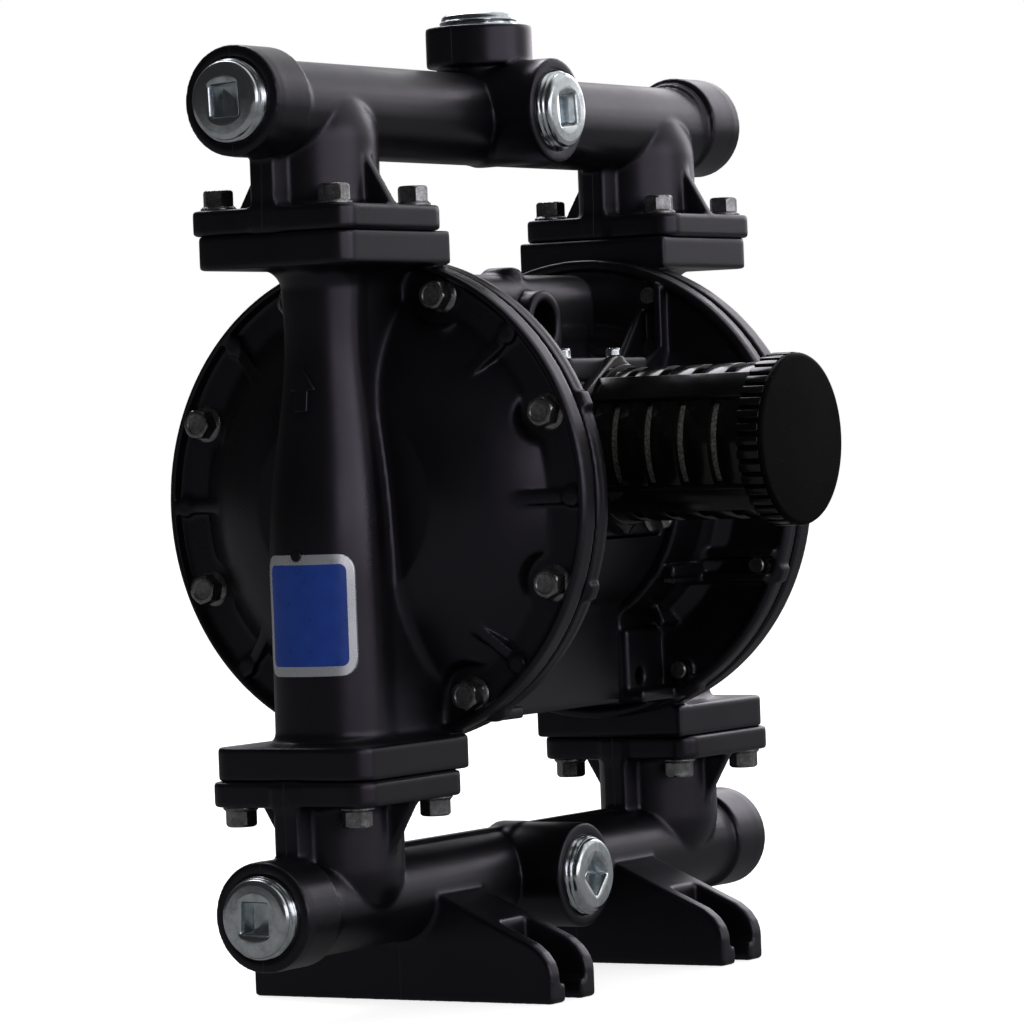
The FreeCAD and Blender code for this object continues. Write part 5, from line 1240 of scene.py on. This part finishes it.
def ground_steel(colours):
    """Ground and polished steel with fine lines round the shaft."""
    p = Paint("ground steel", (0.56, 0.57, 0.58), 0.22, 1.0)
    lines = p.noise(700, 3, 0.5, p.stretched((6, 1, 1)))
    p.rough(p.ranged(lines, 0.14, 0.32))
    p.bump(lines, 0.00002, 0.6)
    return p.material


def cast_alloy(colours):
    p = Paint("cast alloy", (0.5, 0.5, 0.52), 0.45, 0.9)
    grain = p.noise(500, 4, 0.6)
    p.colour(p.mixed(grain, (0.36, 0.36, 0.37), (0.62, 0.62, 0.64)))
    p.rough(p.ranged(grain, 0.36, 0.56))
    p.bump(grain, 0.0001, 0.7)
    return p.material


def label_print(colours):
    """The bare label: a blue field with a pale rounded border, drawn from the label's own UV map."""
    field, border = tuple(colours.label), tuple(colours.border)
    p = Paint("bare label", field, 0.35, Specular_IOR_Level=0.35)
    spot = p.split(p.node("ShaderNodeUVMap", uv_map="UVMap").outputs["UV"])
    # distance into the rounded corners, in millimetres: the map holds millimetres over 100
    width = bpy.context.scene.pump_sizes.label_width / MM / 2
    edges = []
    for axis, half in (("X", width), ("Y", LABEL_HALF)):
        away = p.maths("ABSOLUTE", p.maths("MULTIPLY", spot[axis], 100.0))
        edges.append(p.maths("MAXIMUM", p.maths("SUBTRACT", away, half - LABEL_CORNER), 0.0))
    squares = p.maths("ADD", *(p.maths("MULTIPLY", edge, edge) for edge in edges))
    inside = p.ranged(p.maths("SQRT", squares), 1.0, 0.0, 3.0, 3.2)
    cloud = p.noise(160, 4, 0.6)
    blue = p.mixed(p.ranged(cloud, 0, 0.5), field, tuple(1.5 * c for c in field))
    p.colour(p.mixed(inside, border, blue))
    p.rough(p.maths("ADD", p.ranged(cloud, 0.22, 0.34), p.maths("MULTIPLY", inside, 0.04)))
    p.fed(p.shader, Metallic=p.maths("SUBTRACT", 0.75, p.maths("MULTIPLY", inside, 0.75)))
    return p.material


MAKERS = {
    "moulded": moulded_black, "parted": split_black, "gloss": gloss_black, "cap": cap_face, "bolt": dark_steel,
    "zinc": zinc_plate, "element": filter_grey, "rubber": soft_black, "pale": pale_plastic, "balls": ball_rubber,
    "steel": ground_steel, "alloy": cast_alloy, "label": label_print,
}


# Operators: one for each piece or group of like pieces

def mould(clay, node, material, name=None, mirrored=False):
    """The clay as a moulded piece in place of a node."""
    settle(skinned(clay, name or node + "_moulding", mirrored), "pump", "black_plastic", paint(material), node)


def mould_pair(clay, kind):
    """The left and the right cover of a kind from one clay."""
    for side, mirrored in (("left", True), ("right", False)):
        mould(clay, f"{kind}_{side}", "moulded", f"{kind}_moulding_{side}", mirrored)


class PUMP_OT_manifolds(bpy.types.Operator):
    """Mould the outlet and inlet manifolds"""
    bl_idname = "pump.manifolds"
    bl_label = "Manifolds"

    def execute(self, context):
        mould(outlet_manifold_clay(), "outlet_manifold", "parted")
        mould(inlet_manifold_clay(), "inlet_manifold", "parted")
        return {"FINISHED"}


class PUMP_OT_fluid_covers(bpy.types.Operator):
    """Mould the two fluid covers with their columns"""
    bl_idname = "pump.fluid_covers"
    bl_label = "Fluid covers"

    def execute(self, context):
        mould_pair(fluid_cover_clay(), "fluid_cover")
        return {"FINISHED"}


class PUMP_OT_air_covers(bpy.types.Operator):
    """Mould the two ribbed air covers"""
    bl_idname = "pump.air_covers"
    bl_label = "Air covers"

    def execute(self, context):
        mould_pair(air_cover_clay(), "air_cover")
        return {"FINISHED"}


class PUMP_OT_housing(bpy.types.Operator):
    """Mould the centre housing and the air valve block"""
    bl_idname = "pump.housing"
    bl_label = "Centre housing and air valve"

    def execute(self, context):
        mould(housing_clay(), "center_housing", "moulded")
        mould(valve_clay(), "air_valve_body", "moulded", "air_valve_moulding")
        return {"FINISHED"}


class PUMP_OT_bolts(bpy.types.Operator):
    """Place the hexagon bolts and screws"""
    bl_idname = "pump.bolts"
    bl_label = "Bolts and screws"

    def execute(self, context):
        rng = np.random.default_rng(7)
        cover = bolt_part("cover bolt", BOLT_HALF_FLATS, BOLT_HEAD, 7.6, 1.8, 17.6, BOLT_SHANK, 3.75)
        joint = bolt_part("manifold bolt", BOLT_HALF_FLATS, BOLT_HEAD, 7.2, 1.6, 21.0, BOLT_SHANK)
        small = bolt_part("lid screw", 3.0, 4.0, 0.0, 0.0, 8.0, 1.7)
        jobs = []
        for side, sign in (("left", -1), ("right", 1)):
            places = [(sign * CHANNEL_FLOOR, y, z) for y, z in cover_bolts()]
            jobs.append(("cover_bolts_" + side, cover, places, (sign, 0, 0), "dark_steel", "bolt"))
        reach, half = BOLT_PITCH_X / 2, BOLT_PITCH_Y / 2
        square = [(side * COLUMN_X + dx, dy) for side in (-1, 1) for dx in (-reach, reach) for dy in (-half, half)]
        jobs.append(("outlet_manifold_bolts", joint, [(x, y, JOINT_TOP + PLATE_THICK) for x, y in square], (0, 0, 1),
                     "dark_steel", "bolt"))
        jobs.append(("inlet_manifold_bolts", joint, [(x, y, JOINT_BOTTOM - PLATE_THICK) for x, y in square],
                     (0, 0, -1), "dark_steel", "bolt"))
        jobs.append(("air_valve_screws", joint, [(s * 30, -VALVE_FRONT, VALVE_LOW + 8) for s in (-1, 1)], (0, -1, 0),
                     "dark_steel", "bolt"))
        jobs.append(("air_valve_top_screws", small, [(s * 21 - 2, -49, VALVE_HIGH) for s in (-1, 1)], (0, 0, 1),
                     "zinc_plate", "zinc"))
        for node, part, places, direction, slot, finish in jobs:
            spins = [float(a) for a in rng.uniform(0, math.tau, len(places))]
            placed(node + "_heads", part, finish, slot, places, spins, direction, node)
        for part in (cover, joint, small):
            bpy.data.objects.remove(part)
        return {"FINISHED"}


class PUMP_OT_plugs(bpy.types.Operator):
    """Turn the five pipe plugs"""
    bl_idname = "pump.plugs"
    bl_label = "Pipe plugs"

    def execute(self, context):
        part = plug_part("plug")
        half = MANIFOLD_HALF
        quarter = math.pi / 4
        jobs = [("outlet_end_plug", (-half, 0, OUTLET_HEIGHT), (-1, 0, 0), 0.03),
                ("outlet_top_plug", (0, 0, OUTLET_HEIGHT + HUB_REACH), (0, 0, 1), 0.4),
                ("outlet_front_plug", (0, -HUB_REACH, OUTLET_HEIGHT), (0, -1, 0), 0.10),
                ("inlet_end_plug", (-half, 0, INLET_HEIGHT), (-1, 0, 0), -0.03),
                ("inlet_front_plug", (0, -HUB_REACH, INLET_HEIGHT), (0, -1, 0), quarter)]
        for node, place, direction, spin in jobs:
            placed(node + "_turned", part, "zinc", "zinc_plate", [place], [spin], direction, node, sharp=34)
        bpy.data.objects.remove(part)
        return {"FINISHED"}


class PUMP_OT_muffler(bpy.types.Operator):
    """Build the muffler: six sided plate, slotted cage with flat bars, gripped cap"""
    bl_idname = "pump.muffler"
    bl_label = "Muffler"

    def execute(self, context):
        sizes = context.scene.pump_sizes
        forward = (0, -1, 0)
        n = 120
        plate_rings = [hex_ring(half, z, n) for half, z in ((33.0, 0), (33.0, 4.6), (32.6, 5.5), (31.8, 6.0))]
        plate_rings += [round_ring(radius, z, n) for radius, z in (
            (33.6, 6.02), (33.5, 8.0), (33.1, 8.5), (31.5, 8.6), (10, 8.6), (10, 0))]
        base = stacked("plate", plate_rings + plate_rings[:1], False)
        placed("muffler_base_plate", base, "gloss", "gloss_black", [(0, -VALVE_FRONT, VALVE_Z)], [math.pi / 6],
               forward, "muffler_base", sharp=34)
        wall = SLOT_PITCH - SLOT_WIDTH
        rows = sizes.slot_rows + 1
        inner, outer = MUFFLER_RADIUS - 3.2, MUFFLER_RADIUS
        ring = lathe_part("wall", [(inner, 0.3), (inner + 0.3, 0), (outer - 0.4, 0), (outer - 0.1, 0.12), (outer, 0.4),
                                   (outer, wall - 0.4), (outer - 0.1, wall - 0.12), (outer - 0.4, wall),
                                   (inner + 0.3, wall), (inner, wall - 0.3)], 128)
        start = MUFFLER_BASE - 1
        placed("muffler_cage_walls", ring, "gloss", "gloss_black",
               [(0, -start - SLOT_PITCH * row, VALVE_Z) for row in range(rows)], [0.0] * rows, forward, "muffler_cage")
        bar = bar_part("bar", (inner - 0.3, -6.6, 0), (33.3, 6.6, MUFFLER_FACE - CAP_DEPTH - start), 0.5)
        far = MUFFLER_FACE - 13 - MUFFLER_BASE
        ripples = [(inner - 0.1 - 0.25 * (i % 2), far * i / 150) for i in range(151)]
        element = lathe_part("element", [(20.0, 0)] + ripples + [(20.0, far)], 128)
        placed("muffler_element_ribbed", element, "element", "filter_grey", [(0, -MUFFLER_BASE, VALVE_Z)], [0.0],
               forward, "muffler_element", sharp=60)
        placed("muffler_cage_bars", bar, "gloss", "gloss_black", [(0, -start, VALVE_Z)] * 4,
               [math.tau * (i + 0.5) / 4 for i in range(4)], forward)
        cap = lathe_part("cap", [(0.01, 0), (31.8, 0), (32.2, 0.3), (33.6, 0.4), (34.2, 1.0), (34.3, 9.4), (34.9, 9.7),
                                 (35.2, 10.3), (35.15, 11.3), (34.7, 12.05), (34.0, 12.35), (33.2, CAP_DEPTH),
                                 (0.01, CAP_DEPTH)], 160)
        shoulder = MUFFLER_FACE - CAP_DEPTH
        placed("muffler_cap_turned", cap, "cap", "gloss_black", [(0, -shoulder, VALVE_Z)], [0.0], forward,
               "muffler_cap", sharp=50)
        grip = bar_part("grip", (33.0, -1.75, 0.5), (35.5, 1.75, 10.4), 0.45)
        count = sizes.grip_count
        placed("muffler_cap_grips", grip, "gloss", "gloss_black", [(0, -shoulder, VALVE_Z)] * count,
               [math.tau * i / count for i in range(count)], forward)
        for part in (base, ring, bar, element, cap, grip):
            bpy.data.objects.remove(part)
        return {"FINISHED"}


class PUMP_OT_label(bpy.types.Operator):
    """Stick the bare label round the near column"""
    bl_idname = "pump.label"
    bl_label = "Label"

    def execute(self, context):
        cover = bpy.data.objects.get("fluid_cover_moulding_left")
        if cover is None:
            raise RuntimeError("The near fluid cover is made before its label")
        cover.data.calc_loop_triangles()
        points = [v.co / MM for v in cover.data.vertices]
        tree = BVHTree.FromPolygons(points, [t.vertices for t in cover.data.loop_triangles])
        half = context.scene.pump_sizes.label_width / MM / 2
        rows = [-LABEL_HALF + LABEL_CORNER * (1 - math.cos(math.pi / 2 * i / 5)) for i in range(5)]
        rows += [-LABEL_HALF + LABEL_CORNER + (2 * LABEL_HALF - 2 * LABEL_CORNER) * i / 20 for i in range(21)]
        rows += [-v for v in reversed(rows[:5])]
        across = 44
        spots, flat = [], []
        for v in rows:
            beyond = max(abs(v) - LABEL_HALF + LABEL_CORNER, 0)
            reach = half - LABEL_CORNER + math.sqrt(max(LABEL_CORNER ** 2 - beyond ** 2, 0))
            for i in range(across + 1):
                u = reach * (2 * i / across - 1)
                turn = math.radians(LABEL_TURN) + u / LABEL_BEND
                way = Vector((-math.cos(turn), -math.sin(turn), 0))
                centre = Vector((-COLUMN_X, 0, LABEL_Z + v))
                hit = tree.ray_cast(centre + 60 * way, -way)[0]
                if hit is None:
                    raise RuntimeError("The label found no column behind it")
                spots.append(hit + 0.3 * way)
                flat.append((u / 100, v / 100))
        faces = np.array(quads(len(rows), across + 1, closed=False))
        piece = mesh_object("bare_label", np.array([tuple(p) for p in spots]), faces)
        layer = piece.data.uv_layers.new(name="UVMap")
        layer.data.foreach_set("uv", [c for loop in piece.data.loops for c in flat[loop.vertex_index]])
        sheet = piece.modifiers.new("Sheet", "SOLIDIFY")
        sheet.thickness = 0.0003
        sheet.offset = -1
        evaluated(piece)
        settle(piece, "pump", "black_plastic", paint("label"))
        return {"FINISHED"}


def diaphragm_sector(name, sign, middle):
    """A twelfth of a diaphragm, from its bolt hole to its bead, turned about the shaft."""
    bend = [(math.sin(math.pi * i / 14), math.cos(math.pi * i / 14)) for i in range(15)]
    profile = [(SHEET_AIR, SHEET_BOLT_RADIUS)]
    profile += [(SHEET_AIR + ROLL_INNER * s, ROLL_MIDDLE - ROLL_INNER * c) for s, c in bend]
    profile += [(SHEET_AIR, BEAD_INNER), (SHEET_BEAD_AIR, BEAD_INNER), (SHEET_BEAD_AIR, BEAD_OUTER),
                (SHEET_FLUID, BEAD_OUTER)]
    profile += [(SHEET_FLUID + ROLL_OUTER * s, ROLL_MIDDLE + ROLL_OUTER * c) for s, c in bend]
    profile.append((SHEET_FLUID, SHEET_BOLT_RADIUS))
    steps, count = 6, len(profile)
    turns = [middle + math.tau / SECTORS * (k / steps - 0.5) for k in range(steps + 1)]
    points = [(sign * x, r * math.sin(t), SHAFT_Z + r * math.cos(t)) for t in turns for x, r in profile]
    ends = [tuple(range(count)), tuple(steps * count + i for i in range(count))]
    bm = shell(points, quads(steps + 1, count) + ends)
    bmesh.ops.recalc_face_normals(bm, faces=bm.faces)
    bmesh.ops.triangulate(bm, faces=[face for face in bm.faces if len(face.verts) > 4])
    return cast(name, bm, 35)


class PUMP_OT_diaphragms(bpy.types.Operator):
    """Mould the diaphragms in sectors that run between the plates and the clamped bead"""
    bl_idname = "pump.diaphragms"
    bl_label = "Diaphragms"

    def execute(self, context):
        for side, sign in (("left", -1), ("right", 1)):
            for sector in range(SECTORS):
                middle = math.tau * sector / SECTORS
                piece = diaphragm_sector(f"diaphragm_sheet_{side}_{sector + 1}", sign, middle)
                piece.data.materials.append(paint("rubber"))
                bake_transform(piece)
                if sector == 0:
                    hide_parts("diaphragm_" + side)
        return {"FINISHED"}


class PUMP_OT_mould_marks(bpy.types.Operator):
    """Raise the flow arrows and the small bosses on the columns"""
    bl_idname = "pump.mould_marks"
    bl_label = "Mould marks"

    def execute(self, context):
        column = column_form()
        middle, tail = 249.6, 241.2
        outline = [(-2.9, tail), (2.9, tail), (2.9, middle), (5.6, middle), (5.6, middle + 0.9), (0.6, 258.4),
                   (-0.6, 258.4), (-5.6, middle + 0.9), (-5.6, middle), (-2.9, middle)]

        def arrow(x, y, z):
            return capped(outline_distance(y, z, outline), column.at(x, y, z), -1.2, 1.2, 0.3)

        def boss(x, y, z):
            return capped(np.hypot(y, z - 184.2) - 2.4, column.at(x, y, z), -1.2, 1.1, 0.5)

        for side, mirrored in (("left", True), ("right", False)):
            for mark, form in (("flow_arrow_", Form((139, -7, tail - 1), (150, 7, 260), arrow)),
                               ("column_boss_", Form((147, -4, 180), (157, 4, 188), boss))):
                clay = Clay(form.low, form.high, step=0.3)
                clay.add(form)
                settle(skinned(clay, mark + side, mirrored, 1), "pump", "black_plastic", paint("moulded"))
        return {"FINISHED"}


class PUMP_OT_inner_parts(bpy.types.Operator):
    """Give the carried-over CAD nodes their materials"""
    bl_idname = "pump.inner_parts"
    bl_label = "Inner parts"

    def execute(self, context):
        finishes = {"black_plastic": "moulded", "gloss_black": "gloss", "filter_grey": "element",
                    "dark_steel": "bolt", "zinc_plate": "zinc", "seal_rubber": "rubber", "ball_rubber": "balls",
                    "seat_plastic": "pale", "bush_plastic": "pale", "shaft_steel": "steel",
                    "plate_alloy": "alloy", "plate_plastic": "moulded"}
        for part in frame["record"]["subparts"]:
            node = NODES[part["node"]]
            node.data.materials.clear()
            node.data.materials.append(paint(finishes[part["material_slot"]]))
        return {"FINISHED"}


class PUMP_OT_stage(bpy.types.Operator):
    """Set the floor, the soft studio light and the camera"""
    bl_idname = "pump.stage"
    bl_label = "Stage"

    def execute(self, context):
        scene = context.scene
        scene.view_settings.view_transform = "Standard"
        corners = np.array([(-1, -1, 0), (1, -1, 0), (1, 1, 0), (-1, 1, 0)], float)
        floor = mesh_object("floor", 9000 * corners, np.array([(0, 1, 2, 3)]))
        floor.data.materials.append(floor_material())
        scene.world = studio_world()
        for name, place, size, power in (("front", (-0.28, -2.54, 0.75), (3.5, 1.2), 18.5),
                                         ("side", (1.6, 0.0, 0.80), (1.4, 0.8), 6),
                                         ("top", (1.0, 1.1, 2.0), (1.2, 1.2), 19)):
            light = bpy.data.lights.new(name, "AREA")
            light.color = (0.97, 0.93, 1.0)
            light.shape = "RECTANGLE"
            light.size, light.size_y = size
            light.energy = power
            lamp = linked(name, light)
            lamp.location = place
            lamp.rotation_euler = (Vector((0, 0, 0.2)) - Vector(place)).to_track_quat("-Z", "Y").to_euler()
        place_camera()
        return {"FINISHED"}


def floor_material():
    """Pale floor that shows white to the camera and to rays through glass, dim in reflections, and keeps the shadow."""
    p = Paint("floor", (0.6, 0.6, 0.6), 0.9, Specular_IOR_Level=0.1)
    path = p.node("ShaderNodeLightPath")
    seen = p.maths("MAXIMUM", path.outputs["Is Camera Ray"], path.outputs["Is Transmission Ray"])
    p.colour(p.mixed(seen, (0.07, 0.07, 0.07), (0.6, 0.6, 0.6)))
    glossy = p.maths("MULTIPLY", path.outputs["Is Glossy Ray"], 0.12)
    p.fed(p.shader, Emission_Color=(1, 1, 1, 1),
          Emission_Strength=p.maths("MULTIPLY", p.maths("MAXIMUM", seen, glossy), 0.72))
    return p.material


def studio_world():
    """A white studio behind and over the object that falls off towards the dark side by the camera."""
    world = bpy.data.worlds.new("studio")
    world.use_nodes = True
    made = Nodes(world.node_tree)
    node = made.node

    def eased(value, low, high):
        return node("ShaderNodeMapRange", value, low, high, 0.0, 1.0, interpolation_type="SMOOTHSTEP").outputs["Result"]

    path = node("ShaderNodeLightPath").outputs
    place = node("ShaderNodeTexCoord").outputs["Generated"]
    side = node("ShaderNodeVectorMath", place, (0.90, -0.25, 0.36), operation="DOT_PRODUCT").outputs["Value"]
    rise = node("ShaderNodeSeparateXYZ", place).outputs["Z"]
    lit = made.maths("MULTIPLY", eased(side, 0.20, 0.70), eased(rise, -0.45, 0.35))
    glossy = node("ShaderNodeMapRange", lit, 0.0, 1.0, 0.012, 0.66).outputs["Result"]
    diffuse = node("ShaderNodeMapRange", rise, -1.0, 1.0, 0.40, 0.85).outputs["Result"]
    kind = node("ShaderNodeMix", path["Is Glossy Ray"], data_type="FLOAT")
    made.feed(kind.inputs[2], diffuse)
    made.feed(kind.inputs[3], glossy)
    seen = made.maths("MAXIMUM", path["Is Camera Ray"], path["Is Transmission Ray"])
    made.fed(world.node_tree.nodes["Background"], Color=(1, 1, 1, 1),
             Strength=made.maths("MAXIMUM", kind.outputs[0], seen))
    return world


def place_camera():
    """The photograph's camera: a long lens, three quarter from the near end, a little above the floor."""
    turn, rise, roll = math.radians(-58.79), math.radians(0.97), math.radians(-2.11)
    back = Vector((math.cos(rise) * math.sin(turn), -math.cos(rise) * math.cos(turn), math.sin(rise)))
    right = Vector((math.cos(turn), math.sin(turn), 0))
    up = back.cross(right)
    across = math.cos(roll) * right + math.sin(roll) * up
    above = -math.sin(roll) * right + math.cos(roll) * up
    spot = Vector((0.00343, -0.00572, 0.1963)) + 2.18564 * back
    camera = bpy.data.cameras.new("photograph")
    camera.sensor_width = 36
    camera.lens = 5178.39 / 1024 * 36
    camera.clip_start, camera.clip_end = 0.1, 100
    holder = linked("photograph", camera)
    turned_by = Matrix((across, above, back)).transposed()
    holder.matrix_world = Matrix.Translation(spot) @ turned_by.to_4x4()
    bpy.context.scene.camera = holder


class PUMP_PT_panel(bpy.types.Panel):
    bl_idname = "PUMP_PT_panel"
    bl_label = "Diaphragm pump"
    bl_space_type = "VIEW_3D"
    bl_region_type = "UI"
    bl_category = "Pump"

    def draw(self, context):
        for group in (context.scene.pump_sizes, context.scene.pump_colours):
            box = self.layout.box()
            for name in type(group).__annotations__:
                box.prop(group, name)
        for operator in OPERATORS:
            self.layout.operator(operator.bl_idname)


OPERATORS = (PUMP_OT_inner_parts, PUMP_OT_diaphragms, PUMP_OT_manifolds, PUMP_OT_fluid_covers, PUMP_OT_air_covers,
             PUMP_OT_housing, PUMP_OT_bolts, PUMP_OT_plugs, PUMP_OT_muffler, PUMP_OT_label, PUMP_OT_mould_marks,
             PUMP_OT_stage)
CLASSES = (PumpSizes, PumpColours) + OPERATORS + (PUMP_PT_panel,)


def register():
    for item in CLASSES:
        bpy.utils.register_class(item)
    bpy.types.Scene.pump_sizes = PointerProperty(type=PumpSizes)
    bpy.types.Scene.pump_colours = PointerProperty(type=PumpColours)


def unregister():
    del bpy.types.Scene.pump_sizes
    del bpy.types.Scene.pump_colours
    for item in reversed(CLASSES):
        bpy.utils.unregister_class(item)


def main():
    register()
    for operator in OPERATORS:
        group, name = operator.bl_idname.split(".")
        getattr(getattr(bpy.ops, group), name)()


if __name__ == "__main__":
    main()
